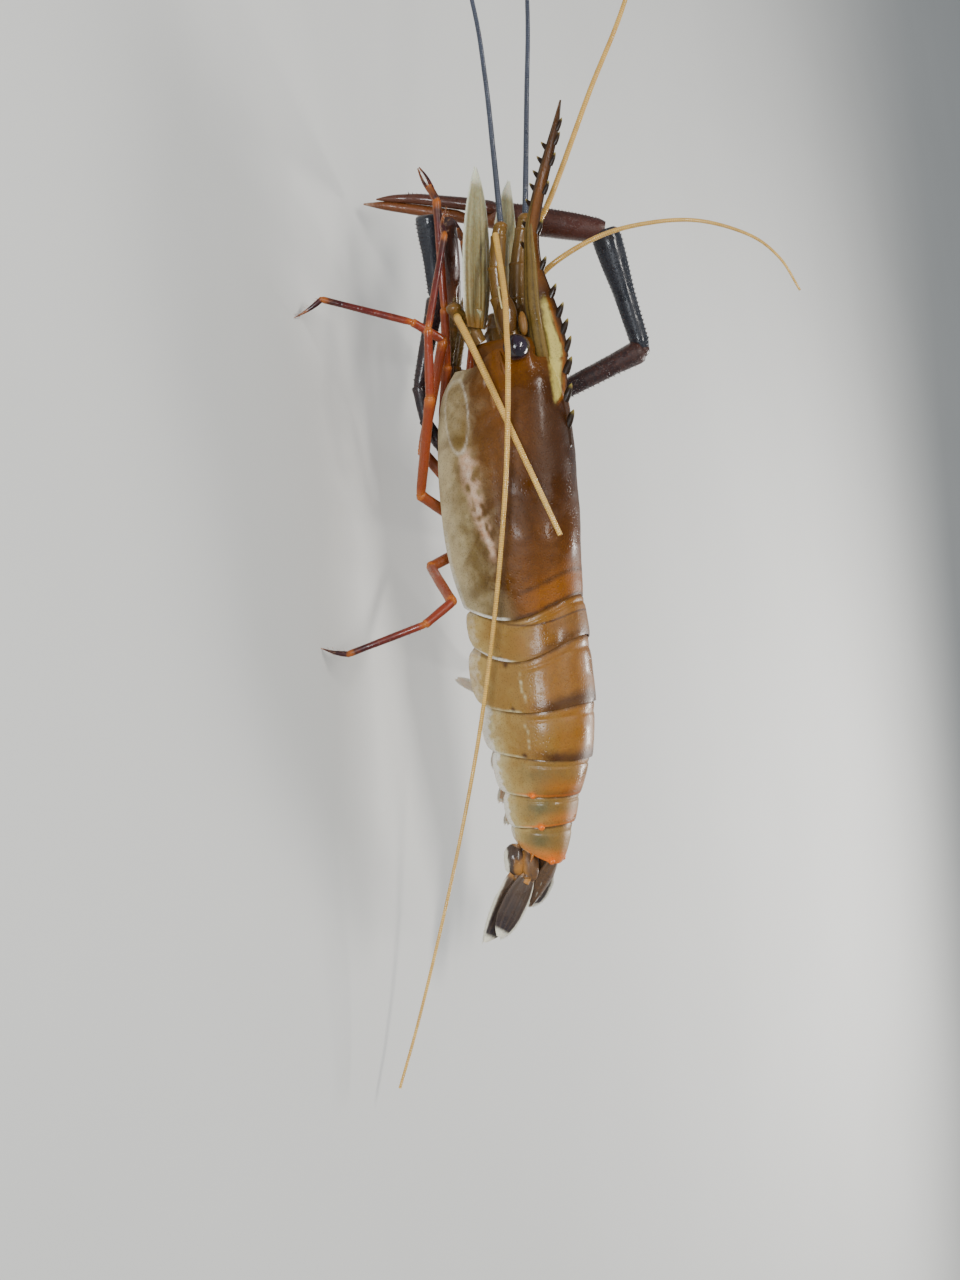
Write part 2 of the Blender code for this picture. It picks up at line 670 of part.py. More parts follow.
def make_eyes():
    for word, side in SIDES.items():
        centre = Vector((EYE[0], side * EYE[1], EYE[2]))
        root = Vector((3.6, side * 5.0, 47.4))
        way = (centre - root).normalized()
        radii = ((root, 1.9), (root.lerp(centre, 0.45), 1.9), (centre - way * 1.6, 2.9))
        stalk = loft_mesh([round_ring(point, way, radius, 10) for point, radius in radii])
        cutters = [ball_mesh(centre, EYE_RADIUS + GAP + 0.07, 20, 14), head_mesh(GAP + 0.02)]
        finish(f"eyestalk_{word}", combine(stalk, cutters, "DIFFERENCE"), "shell")
        finish(f"eye_{word}", ball_mesh(centre, EYE_RADIUS), "eye")


# Joints of the feeler stems, from the head's face to the knob that the whips leave
ANTENNULE = {
    "left": ((FEELER_ROOT, -4.3, 44.7), (-9.5, -5.0, 43.6), (-17.0, -5.4, 44.0), (-24.4, -5.5, 45.7),
             (-27.0, -5.5, 46.6)),
    "right": ((FEELER_ROOT, 4.3, 44.7), (-10.0, 5.0, 44.0), (-19.0, 5.4, 45.5), (-27.6, 5.6, 48.1),
              (-30.4, 5.6, 49.1)),
}
ANTENNULE_RADII = (2.5, 2.4, 2.2, 1.9, 1.7)
ANTENNA = ((FEELER_ROOT, 6.3, 36.2), (-3.0, 7.9, 35.4), (-5.4, 10.0, 34.5), (-8.1, 12.0, 33.8))
ANTENNA_RADII = (2.6, 2.6, 2.0, 1.7)


def antenna_mesh(side, grow=0.0):
    joints = [(x, y * side, z) for x, y, z in ANTENNA]
    radii = [radius + grow for radius in ANTENNA_RADII]
    return loft_mesh(limb_rings(joints, radii, root=Vector((-1, 0, 0))))


def make_feeler_stems():
    for word, side in SIDES.items():
        rings = limb_rings(ANTENNULE[word], ANTENNULE_RADII, root=Vector((-1, 0, 0)))
        finish(f"antennule_{word}", loft_mesh(rings), "shell")
        # A short spine stands on the outer side of the base
        spine = spine_mesh((-1.4, side * 8.6, 35.6), (-3.8, side * 12.4, 36.6), 0.9)
        finish(f"antenna_{word}", combine(antenna_mesh(side), [spine]), "scale")


# Whips: start radius, end radius and route points
WHIPS = {
    "antennule_whip_upper_left": ("feeler_blue", 0.8, 0.3, (
        (-27.5, -5.5, 46.8), (-46.1, -6.0, 47.8), (-64.6, -7.0, 48.8), (-83.3, -8.0, 48.6),
        (-122.0, -12.0, 45.5), (-158.0, -20.0, 37.0))),
    "antennule_whip_upper_right": ("feeler_blue", 0.8, 0.3, (
        (-30.8, 5.6, 49.25), (-59.5, 5.3, 54.2), (-84.5, 6.0, 57.9), (-124.0, 10.0, 59.5),
        (-165.0, 19.0, 53.0))),
    "antennule_whip_lower_left": ("feeler_tan", 0.8, 0.35, (
        (-24.75, -8.3, 46.15), (-18.6, -11.0, 47.4), (-7.1, -14.8, 49.0), (2.4, -17.7, 49.3),
        (9.6, -19.0, 49.1), (30.2, -20.0, 46.1), (46.8, -20.0, 42.5), (65.9, -19.2, 37.3),
        (85.1, -18.8, 31.6), (104.5, -20.0, 25.8), (126.1, -25.0, 20.0), (147.0, -32.0, 14.6),
        (165.3, -41.0, 10.6), (FEELER_REACH, -49.0, 8.0))),
    "antennule_whip_lower_right": ("feeler_tan", 0.8, 0.35, (
        (-27.45, 6.3, 50.85), (-31.8, 7.3, 54.4), (-41.1, 9.2, 59.4), (-60.1, 13.0, 68.8),
        (-81.6, 18.0, 79.8), (-112.0, 26.0, 90.0), (-145.0, 36.0, 91.5), (-FEELER_REACH, 47.0, 84.0))),
    "antenna_whip_left": ("feeler_tan", 1.0, 0.65, (
        (-5.8, -12.7, 34.65), (-4.2, -15.1, 36.0), (0.4, -16.3, 38.2), (7.9, -16.6, 40.9),
        (30.5, -15.9, 48.0), (52.5, -15.4, 55.0))),
    "antenna_whip_right": ("feeler_tan", 0.95, 0.3, (
        (-6.95, 13.48, 35.65), (-8.7, 15.5, 38.1), (-13.4, 17.2, 42.0), (-20.0, 18.6, 49.6),
        (-25.2, 22.0, 62.7), (-26.4, 26.0, 75.6), (-24.5, 29.0, 88.0), (-18.3, 31.0, 100.0),
        (-11.0, 32.0, 106.6), (-2.1, 33.0, 110.3))),
}


def smooth_route(points, step):
    """Points a step apart on one smooth curve through the route's own points."""
    route = [Vector(p) for p in points]
    route = [route[0] * 2 - route[1], *route, route[-1] * 2 - route[-2]]
    made = []
    for before, a, b, after in zip(route, route[1:], route[2:], route[3:]):
        count = max(1, round((b - a).length / step))
        for i in range(count):
            t = i / count
            made.append(0.5 * (
                2 * a + (b - before) * t + (2 * before - 5 * a + 4 * b - after) * t ** 2
                + (3 * a - before - 3 * b + after) * t ** 3
            ))
    made.append(route[-2])
    return made


def make_whips():
    """Each whip is a thin tapering tube."""
    for name, (finish_name, thick, thin, points) in WHIPS.items():
        route = smooth_route(points, 7.5)
        data = bpy.data.curves.new(name, "CURVE")
        data.dimensions = "3D"
        data.bevel_depth = 0.001
        data.bevel_resolution = 1
        data.use_fill_caps = True
        spline = data.splines.new("POLY")
        spline.points.add(len(route) - 1)
        for i, (point, place) in enumerate(zip(spline.points, route)):
            point.co = (*mm(*place), 1.0)
            point.radius = thick + (thin - thick) * (i / (len(route) - 1)) ** 0.8
        data.materials.append(material(finish_name))
        whip = bpy.data.objects.new(name, data)
        PRAWN.objects.link(whip)


# Flat blades: feeler scales, tail fan and swimmerets

def blade_rings(root, way, across, length, half_width, thickness, outline, bend=None):
    """Lens-shaped sections along a blade. Outline gives share, width share and sideways shift."""
    root, way, across = Vector(root), Vector(way).normalized(), Vector(across)
    across = (across - way * across.dot(way)).normalized()
    face = across.cross(way).normalized()
    spread = (-1.0, -0.55, 0.0, 0.55, 1.0)
    rings = []
    for share, width, shift in outline:
        drop = bend * share ** 2 if bend else 0.0
        centre = root + way * (length * share) + across * (half_width * shift) + face * drop
        half = half_width * width
        top = [
            (k * half, max(0.25, thickness / 2 * (1 - 0.72 * k * k) * (0.45 + 0.55 * width)))
            for k in spread
        ]
        ring = [centre + across * a + face * t for a, t in top]
        ring += [centre + across * a - face * t for a, t in reversed(top)]
        rings.append([tuple(point) for point in ring])
    return rings


LEAF = ((0.0, 0.34, 0.0), (0.1, 0.62, 0.0), (0.3, 0.93, 0.0), (0.55, 1.0, 0.0), (0.78, 0.86, 0.0),
        (0.92, 0.55, 0.0), (1.0, 0.18, 0.0))
# The outer blades of the tail fan run out to a point on their outer edge
OUTER_LEAF = ((0.0, 0.34, 0.0), (0.1, 0.62, 0.0), (0.3, 0.93, 0.0), (0.55, 1.0, 0.0),
              (0.78, 0.78, 0.12), (0.92, 0.42, 0.32), (1.0, 0.10, 0.50))
# The feeler scale is broadest before its middle, and its outer edge ends in a spine
SCALE = ((0.0, 0.36, 0.1), (0.12, 0.72, 0.05), (0.32, 0.96, 0.0), (0.58, 0.90, 0.02), (0.80, 0.62, 0.06),
         (0.92, 0.34, 0.12), (1.0, 0.06, 0.2))
SCALE_LEAN = {"left": 8.0, "right": -9.0}   # degrees that the outer edge hangs below the inner


def make_scales():
    for word, side in SIDES.items():
        root = (-5.2, side * 8.6, 38.3)
        lean = math.radians(SCALE_LEAN[word])
        across = (0.0, side * math.cos(lean), -math.sin(lean))
        rings = blade_rings(root, (-1.0, 0.0, 0.115), across, 37.0, 6.4, 1.6, SCALE, 1.8 * side)
        stem = limb_rings(((-2.2, side * 7.9, 36.0), (-7.6, side * 8.8, 38.9)), (1.5, 1.1))
        mesh = combine(loft_mesh(rings), [loft_mesh(stem)])
        mesh = combine(mesh, [antenna_mesh(side, GAP + 0.07)], "DIFFERENCE")
        finish(f"antenna_scale_{word}", mesh, "scale")


FAN_DROP = math.radians(36)     # how far the fan hangs below the level
FAN_ROLL = math.radians(25)     # how far the fan is turned over to its left
# Sections of the telson: distance from its root, half width, half thickness
TELSON_HEIGHT = 34.3
TELSON = ((2.6, 3.3, 1.3), (6.0, 3.0, 1.2), (10.4, 2.1, 0.9), (13.0, 1.2, 0.65), (14.6, 0.4, 0.35))
# Side blades of the fan: root, tip, the way to the outer edge and the half width. The fan is turned
# over to its left, so its left half hangs low and its right half stands up beside the telson.
UROPODS = {
    "uropod_inner_left": ((135.6, -4.5, 29.5), (150.4, -12.0, 21.6), (0.0, -0.80, -0.60), 3.6),
    "uropod_outer_left": ((135.4, -5.4, 26.8), (152.2, -11.8, 18.9), (0.0, -0.80, -0.60), 3.8),
    "uropod_inner_right": ((135.6, 3.0, 31.0), (146.6, 8.2, 22.6), (0.0, 0.60, 0.80), 3.5),
    "uropod_outer_right": ((135.4, 5.0, 29.3), (146.8, 14.0, 18.9), (0.0, 0.50, 0.85), 4.1),
}
# The lobes that the side blades are hinged by: centre and half sizes
LOBES = {
    "uropod_inner_left": ((133.9, -3.1, 29.2), (3.4, 1.8, 1.5)),
    "uropod_outer_left": ((132.2, -5.8, 26.1), (4.3, 2.2, 2.3)),
    "uropod_inner_right": ((133.9, 2.0, 29.4), (3.2, 1.6, 1.5)),
    "uropod_outer_right": ((132.2, 5.8, 26.1), (4.3, 2.2, 2.3)),
}


def fan_face(height):
    """Where the slanted face that the fan pieces are seated in stands at a height."""
    ridge_x, bow, lean = EDGES[-1]
    slope = lean / (EDGE_TOP - EDGE_LOW)
    return ridge_x + edge_shift(height, bow, lean) + GAP * math.hypot(1.0, slope)


def ellipsoid_mesh(centre, half_sizes):
    mesh = ball_mesh((0.0, 0.0, 0.0), 1.0, 12, 8)
    mesh.transform(Matrix.Translation(mm(*centre)) @ Matrix.Diagonal((*half_sizes, 1.0)))
    return mesh


def make_telson():
    """A tapering plate, flat below and ridged above."""
    root = Vector((fan_face(TELSON_HEIGHT), 0.0, TELSON_HEIGHT))
    along = Vector((math.cos(FAN_DROP), 0.0, -math.sin(FAN_DROP)))
    beside, above = Vector((0, 1, 0)), Vector((0, 0, 1))
    rings = [[(fan_face(z), y, z) for _, y, z in oval(root, beside, above, 3.1, 1.2, 12)]]
    for distance, wide, high in TELSON:
        turn = FAN_ROLL * min(distance / 5.0, 1.0)
        across = beside * math.cos(turn) + above * math.sin(turn)
        across = (across - along * across.dot(along)).normalized()
        rings.append(oval(root + along * distance, across, along.cross(across), wide, high, 12))
    finish("telson", loft_mesh(rings), "fan")


def make_uropods():
    """The side blades, each with the lobe that it is hinged by."""
    for name, (root, tip, across, half_width) in UROPODS.items():
        root, tip = Vector(root), Vector(tip)
        outline = OUTER_LEAF if name.startswith("uropod_outer") else LEAF
        blade = blade_rings(root, tip - root, across, (tip - root).length, half_width, 1.2, outline)
        foot = root + (root - tip).normalized() * 0.6
        seat = [foot + (Vector(p) - root) * 0.9 for p in blade[0]]
        seat = [(fan_face(z), y, z) for _, y, z in seat]
        mesh = loft_mesh([seat, *blade])
        finish(name, combine(mesh, [ellipsoid_mesh(*LOBES[name])]), "fan")


# Swimmerets: which ring, x, the slope of the leaf, its length and the length of the stalk
SWIMMERETS = ((1, 75.0, -165, 9.0, 2.6), (2, 90.0, -122, 9.5, 4.6), (3, 100.0, -26, 9.0, 2.8),
              (4, 110.0, -28, 8.0, 2.8), (5, 117.2, -30, 6.5, 2.6))


def make_swimmerets():
    """A short stalk under the belly and a leaf that swings forward or back."""
    for number, x, angle, length, drop in SWIMMERETS:
        *_, hem_width, belly = RINGS[number - 1]
        belly -= GAP
        slope = math.radians(angle)
        for word, side in SIDES.items():
            y = side * hem_width * 0.42
            way = Vector((math.cos(slope), side * 0.12, math.sin(slope)))
            across = Vector((0.0, side, -0.35))
            knee = Vector((x, y, belly - drop + 0.6))
            leaf = blade_rings(knee, way, across, length, hem_width * 0.27, 1.1, LEAF)
            root = [(x + dx, y + dy, belly) for dx, dy in (
                (1.2 * math.cos(a), 1.2 * math.sin(a)) for a in (math.tau * i / 10 for i in range(10))
            )]
            foot = [(px, py, belly - drop) for px, py, _ in root]
            stalk = loft_mesh([root, foot])
            finish(f"swimmeret{number}_{word}", combine(loft_mesh(leaf), [stalk]), "swimmeret")


clear_scene()
PRAWN = bpy.data.collections.new("giant_river_prawn")
bpy.context.scene.collection.children.link(PRAWN)
make_carapace()
make_tail_rings()
make_rostrum()
finish("head_front", head_mesh(), "shell")
make_eyes()
make_feeler_stems()
make_scales()
make_whips()
make_walking_legs()
make_nipper_legs()
make_jaw_legs()
for claw_side, claw_sizes in CLAWS.items():
    make_claw(claw_side, claw_sizes)
make_telson()
make_uropods()
make_swimmerets()
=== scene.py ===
# %% [markdown]
# # A giant river prawn, painted by position
# The part comes from its CAD frame, which fixes where every plate, leg and feeler is. This lesson
# dresses that frame: each piece is built again in finer mesh code from the same sizes, and takes its
# colours from values painted on its points. First come the tools that this takes.

# %% Load the frame
import math

import bmesh
import bpy
import numpy as np
from mathutils import Matrix, Vector, noise


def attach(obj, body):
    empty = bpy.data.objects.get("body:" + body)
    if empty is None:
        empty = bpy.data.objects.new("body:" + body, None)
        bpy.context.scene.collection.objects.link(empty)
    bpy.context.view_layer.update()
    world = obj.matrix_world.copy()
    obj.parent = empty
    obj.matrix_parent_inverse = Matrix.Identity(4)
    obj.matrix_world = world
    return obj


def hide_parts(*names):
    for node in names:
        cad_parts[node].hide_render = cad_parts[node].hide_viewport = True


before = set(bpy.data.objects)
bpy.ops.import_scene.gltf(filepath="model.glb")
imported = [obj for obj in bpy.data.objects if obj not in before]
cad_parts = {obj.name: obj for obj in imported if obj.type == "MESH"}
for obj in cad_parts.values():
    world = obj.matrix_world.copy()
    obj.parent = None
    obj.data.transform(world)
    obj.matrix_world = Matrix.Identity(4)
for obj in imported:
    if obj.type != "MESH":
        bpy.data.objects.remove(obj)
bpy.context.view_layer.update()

# %% [markdown]
# The camera stands where the photographer stood, seen from the prawn: beside and above its left
# flank, turned so that the head points up. It comes first, because every look is judged through it.
# It could be aimed with a Track To constraint, but a fixed matrix keeps the roll of the photo exactly.

# %% Camera
RIGHT_OF_PICTURE = Vector((0.1400, 0.4185, 0.8974))
TOP_OF_PICTURE = Vector((-0.9901, 0.0592, 0.1269))
TOWARDS_CAMERA = Vector((0.0, -0.9063, 0.4226))
CAMERA_PLACE = Vector((0.0751, -0.4078, 0.2126))

eye_of_view = bpy.data.cameras.new("photo_view")
eye_of_view.lens = 48.678
eye_of_view.sensor_width = 36.0
eye_of_view.clip_start = 0.01
camera = bpy.data.objects.new("photo_view", eye_of_view)
turned = Matrix((RIGHT_OF_PICTURE, TOP_OF_PICTURE, TOWARDS_CAMERA)).transposed().to_4x4()
camera.matrix_world = Matrix.Translation(CAMERA_PLACE) @ turned
bpy.context.scene.collection.objects.link(camera)
bpy.context.scene.camera = camera
print("camera at", tuple(camera.location))

# %% [markdown]
# Every finish below is a small tree of shader nodes. One helper adds a node, sets its options and
# fills or links its inputs, so that a tree reads as a list of steps. Writing each link by hand would
# do the same in three times the lines.

# %% Helpers for shader trees
def put(tree, kind, wires, **options):
    """Adds a shader node. Wires gives its inputs: a socket is linked, anything else is a value."""
    made = tree.nodes.new("ShaderNode" + kind)
    for option, value in options.items():
        setattr(made, option, value)
    for key, value in wires.items():
        if isinstance(value, bpy.types.NodeSocket):
            tree.links.new(value, made.inputs[key])
        else:
            made.inputs[key].default_value = value
    return made


def calculate(tree, operation, *values, clamp=False):
    made = put(tree, "Math", dict(enumerate(values)), operation=operation, use_clamp=clamp)
    return made.outputs[0]


def times(tree, first, second):
    return calculate(tree, "MULTIPLY", first, second)


def mix_colours(tree, share, first, second):
    """The second colour over the first, by a share from 0 to 1. A colour is a socket or a triple."""
    first, second = ((*tint, 1.0) if isinstance(tint, tuple) else tint for tint in (first, second))
    return put(tree, "Mix", {0: share, 6: first, 7: second}, data_type="RGBA").outputs[2]


def stretch(tree, value, low, high, to_low=0.0, to_high=1.0):
    """A value between low and high, spread smoothly over another range."""
    wires = {0: value, 1: low, 2: high, 3: to_low, 4: to_high}
    return put(tree, "MapRange", wires, interpolation_type="SMOOTHSTEP").outputs[0]


def painted(tree, name):
    """The value that was painted on the points of the piece under that name."""
    return put(tree, "Attribute", {}, attribute_name=name).outputs["Fac"]


print("shader helpers are ready")

# %% [markdown]
# The floor is plain and pale, and the light is that of a small studio: a narrow strip above the back,
# a lower and cooler window on the left flank and a rim light behind the tail. Broad lights would lay a
# milky veil over the wet shell, while narrow ones leave its colours deep and its glints sharp.

# %% Floor and lights
LAMP_AIM = Vector((0.05, 0.0, 0.03))
LAMPS = (
    ("key", (-0.10, -0.22, 0.75), (0.50, 0.10), 4.2, (1.0, 0.96, 0.90)),
    ("flank_window", (0.02, -0.75, 0.20), (0.30, 0.20), 4.0, (0.92, 0.96, 1.0)),
    ("rim", (0.25, 0.55, 0.38), (0.30, 0.16), 4.5, (1.0, 0.98, 0.95)),
)


def add_floor():
    mesh = bpy.data.meshes.new("studio_floor")
    half = 3.0
    mesh.from_pydata([(-half, -half, 0), (half, -half, 0), (half, half, 0), (-half, half, 0)], [],
                     [(0, 1, 2, 3)])
    paper = bpy.data.materials.new("studio_paper")
    paper.use_nodes = True
    surface = paper.node_tree.nodes["Principled BSDF"]
    grain = put(paper.node_tree, "TexNoise", {"Scale": 60.0, "Detail": 3.0})
    tint = mix_colours(paper.node_tree, grain.outputs[0], (0.60, 0.60, 0.58), (0.66, 0.66, 0.64))
    paper.node_tree.links.new(tint, surface.inputs["Base Color"])
    surface.inputs["Roughness"].default_value = 0.8
    mesh.materials.append(paper)
    floor = bpy.data.objects.new("studio_floor", mesh)
    bpy.context.scene.collection.objects.link(floor)


def add_light(name, place, size, power, tint):
    """An oblong lamp: size gives its length and its breadth."""
    lamp = bpy.data.lights.new(name, "AREA")
    lamp.shape, lamp.energy, lamp.color = "RECTANGLE", power, tint
    lamp.size, lamp.size_y = size
    light = bpy.data.objects.new(name, lamp)
    place = Vector(place)
    turn = (LAMP_AIM - place).to_track_quat("-Z", "Y").to_matrix().to_4x4()
    light.matrix_world = Matrix.Translation(place) @ turn
    bpy.context.scene.collection.objects.link(light)


add_floor()
for lamp_row in LAMPS:
    add_light(*lamp_row)
sky = bpy.data.worlds.new("studio_air")
sky.use_nodes = True
sky.node_tree.nodes["Background"].inputs["Color"].default_value = (0.80, 0.86, 0.92, 1.0)
sky.node_tree.nodes["Background"].inputs["Strength"].default_value = 0.42
bpy.context.scene.world = sky
print("floor and", len(bpy.data.lights), "lights are set")

# %% [markdown]
# Living shell looks alive through four things: cloudy pigment, fine pits, a film of water that is
# not the same everywhere, and colour borders that are never quite straight. Each is a node group
# with named sockets, so that every material can use it at its own scale.

# %% A maker of shader groups
def shader_group(name, inputs, outputs):
    """A shader node group with named sockets, and its entry and exit nodes."""
    group = bpy.data.node_groups.new(name, "ShaderNodeTree")
    for label, value in inputs.items():
        socket = group.interface.new_socket(name=label, in_out="INPUT", socket_type="NodeSocketFloat")
        socket.default_value = value
    for label in outputs:
        group.interface.new_socket(name=label, in_out="OUTPUT", socket_type="NodeSocketFloat")
    return group, group.nodes.new("NodeGroupInput").outputs, group.nodes.new("NodeGroupOutput").inputs


def texture_at(tree, kind, size_mm, seed=0.0, **options):
    """A texture whose features are about size_mm across, laid through the prawn's own space."""
    place = put(tree, "TexCoord", {}).outputs["Object"]
    place = put(tree, "VectorMath", {0: place, 1: (seed, seed * 0.7, -seed)}, operation="ADD").outputs[0]
    scale = calculate(tree, "DIVIDE", 1000.0, size_mm)
    return put(tree, kind, {"Vector": place, "Scale": scale}, **options)


print("group maker is ready")

# %% [markdown]
# Prawn shell is clear horn over a skin of pigment cells, which crowd into clouds and show close up
# as specks. Both could be painted by hand, but a noise and a cell texture never repeat, and their
# sizes are open as sockets.

# %% Pigment clouds
PIGMENT, entry, leave = shader_group(
    "pigment_clouds", {"Cloud Size": 6.0, "Speck Size": 0.5}, ("Clouds", "Specks"))
clouds = texture_at(PIGMENT, "TexNoise", entry["Cloud Size"])
clouds.inputs["Detail"].default_value = 5.0
clouds.inputs["Distortion"].default_value = 0.6
PIGMENT.links.new(stretch(PIGMENT, clouds.outputs[0], 0.32, 0.68), leave["Clouds"])
specks = texture_at(PIGMENT, "TexVoronoi", entry["Speck Size"], seed=0.3)
PIGMENT.links.new(stretch(PIGMENT, specks.outputs["Distance"], 0.42, 0.16), leave["Specks"])
print(PIGMENT.name, "gives", [socket.name for socket in leave if socket.name])

# %% [markdown]
# The plates are finely pitted, and each swells and dips a little as a whole. Modelled pits would take
# millions of faces, so cells give the pits and a noise the ripples, as one height for bump.

# %% Pits and ripples
RELIEF, entry, leave = shader_group(
    "pits_and_ripples",
    {"Pit Size": 0.7, "Pit Depth": 0.5, "Ripple Size": 4.0, "Ripple Depth": 0.5}, ("Height",))
pits = texture_at(RELIEF, "TexVoronoi", entry["Pit Size"], seed=0.9)
pits = stretch(RELIEF, pits.outputs["Distance"], 0.10, 0.45)
ripples = texture_at(RELIEF, "TexNoise", entry["Ripple Size"], seed=1.7)
ripples.inputs["Detail"].default_value = 3.0
height = calculate(RELIEF, "ADD", times(RELIEF, pits, entry["Pit Depth"]),
                   times(RELIEF, ripples.outputs[0], entry["Ripple Depth"]))
RELIEF.links.new(height, leave["Height"])
print(RELIEF.name, "gives a height for bump")

# %% [markdown]
# A wet prawn shines in patches, because the film has run off in between. One roughness for all would
# look like varnish, so a soft noise moves the gloss between a wet and a dry value.

# %% Film of water
FILM, entry, leave = shader_group(
    "film_of_water", {"Wet": 0.12, "Dry": 0.42, "Patch Size": 9.0}, ("Roughness", "Wetness"))
patches = texture_at(FILM, "TexNoise", entry["Patch Size"], seed=2.3)
patches.inputs["Detail"].default_value = 4.0
wetness = stretch(FILM, patches.outputs[0], 0.56, 0.40)
span = calculate(FILM, "SUBTRACT", entry["Wet"], entry["Dry"])
FILM.links.new(calculate(FILM, "ADD", entry["Dry"], times(FILM, span, wetness)), leave["Roughness"])
FILM.links.new(wetness, leave["Wetness"])
print(FILM.name, "gives roughness and wetness")

# %% [markdown]
# Where two colours of shell meet, the border is made of single pigment cells and frays. Painted values
# blend too evenly for that. Grain is added where the mask is half way and fades out where it is full
# or empty, so that only the border frays.

# %% Ragged borders
RAGGED, entry, leave = shader_group(
    "ragged_border", {"Mask": 0.0, "Grain Size": 1.2, "Raggedness": 0.5}, ("Mask",))
grain = texture_at(RAGGED, "TexNoise", entry["Grain Size"], seed=3.1)
grain.inputs["Detail"].default_value = 4.0
shift = times(RAGGED, calculate(RAGGED, "SUBTRACT", grain.outputs[0], 0.5), entry["Raggedness"])
middle = times(RAGGED, calculate(RAGGED, "SUBTRACT", 1.0, entry["Mask"]), entry["Mask"])
shift = times(RAGGED, times(RAGGED, shift, middle), 8.0)
RAGGED.links.new(calculate(RAGGED, "ADD", entry["Mask"], shift, clamp=True), leave["Mask"])
print(RAGGED.name, "softens a painted mask")

# %% [markdown]
# A ring of tiny joints makes a feeler bend like a whip, and each ring catches the light. On feelers
# the point's distance along the whip is painted, so a wave of that distance gives the rings without
# any UV map.

# %% Rings of a feeler
ANNULI, entry, leave = shader_group("feeler_rings", {"Distance": 0.0, "Pitch": 0.8}, ("Height", "Groove"))
turns = calculate(ANNULI, "DIVIDE", entry["Distance"], entry["Pitch"])
wave = calculate(ANNULI, "COSINE", times(ANNULI, turns, math.tau))
ANNULI.links.new(stretch(ANNULI, wave, 0.95, 0.1), leave["Height"])
ANNULI.links.new(stretch(ANNULI, wave, 0.55, 0.98), leave["Groove"])
print(ANNULI.name, "gives the rings of a whip")

# %% [markdown]
# All finishes share one frame: a colour tree of their own, then the film of water for gloss and the
# pits for bump. A thin clear coat stands for the water itself, and a little light is let under the
# surface, because the shell is horn, not paint. These fixed amounts sit on the shader's own sockets.

# %% The frame of every finish
def use(tree, group, **values):
    """Places a shader group. Names are given with underscores for spaces."""
    made = tree.nodes.new("ShaderNodeGroup")
    made.node_tree = group
    for label, value in values.items():
        socket = made.inputs[label.replace("_", " ")]
        if isinstance(value, bpy.types.NodeSocket):
            tree.links.new(value, socket)
        else:
            socket.default_value = value
    return made.outputs


def drifting(tree, label, pigment, amount, clamp=False):
    """A painted value, moved up and down by the pigment clouds."""
    drift = times(tree, calculate(tree, "SUBTRACT", pigment["Clouds"], 0.5), amount)
    return calculate(tree, "ADD", painted(tree, label), drift, clamp=clamp)


def lay_marks(tree, skin, marks, grain_mm):
    """Marks over a skin: the painted value, tint, strength and raggedness of each."""
    for label, tint, amount, torn in marks:
        mask = use(tree, RAGGED, Mask=painted(tree, label), Grain_Size=grain_mm, Raggedness=torn)["Mask"]
        skin = mix_colours(tree, times(tree, mask, amount), skin, tint)
    return skin


def living_finish(name, colours, relief, damp, bump=0.00012, coat=0.25, glow=0.12, rings=None,
                  shine=0.4):
    """A material: colours(tree) gives its colour socket.

    Relief is the size and depth of the pits and of the ripples. Damp is the roughness where wet and
    where dry, and the size of the wet patches. Rings is the pitch of a whip's rings.
    """
    made = bpy.data.materials.new(name)
    made.use_nodes = True
    tree = made.node_tree
    surface = tree.nodes["Principled BSDF"]
    tree.links.new(colours(tree), surface.inputs["Base Color"])
    wet, dry, patch = damp
    film = use(tree, FILM, Wet=wet, Dry=dry, Patch_Size=patch)
    tree.links.new(film["Roughness"], surface.inputs["Roughness"])
    pit_size, pit_depth, ripple_size, ripple_depth = relief
    high = use(tree, RELIEF, Pit_Size=pit_size, Pit_Depth=pit_depth, Ripple_Size=ripple_size,
               Ripple_Depth=ripple_depth)["Height"]
    if rings:
        ridge = use(tree, ANNULI, Distance=painted(tree, "along"), Pitch=rings)["Height"]
        high = calculate(tree, "ADD", high, times(tree, ridge, 0.7))
    bumped = put(tree, "Bump", {"Height": high, "Strength": 0.8, "Distance": bump})
    tree.links.new(bumped.outputs[0], surface.inputs["Normal"])
    tree.links.new(times(tree, film["Wetness"], coat), surface.inputs["Coat Weight"])
    surface.inputs["Coat Roughness"].default_value = 0.06
    surface.inputs["Specular IOR Level"].default_value = shine
    surface.inputs["Subsurface Weight"].default_value = glow
    surface.inputs["Subsurface Radius"].default_value = (1.0, 0.45, 0.2)
    surface.inputs["Subsurface Scale"].default_value = 0.0015
    return made


print("finish frame is ready")

# %% [markdown]
# The trunk is pale olive at its hem, brown along the flank and darker over the back. On the carapace
# that ramp is partly the shell's own colour and partly painted light: the hem is painted lighter, as
# if lit, and the back darker, as painted shade. Each plate adds its own marks: a dark hinder band,
# orange at the joints, a grey patch and pale rims, and the carapace adds painted highlights, a pinkish
# ragged streak and a grey oval with a pale outline. They are painted on the points as separate
# values, so one colour tree serves both the carapace and the tail.

# %% Colours of the trunk
# The pinkish tint of a painted highlight streak, and a white that serves both the shell's pale rims and
# painted highlights
HIGHLIGHT_PINK = (0.52, 0.26, 0.13)
RIM_AND_GLINT_WHITE = (0.72, 0.68, 0.58)


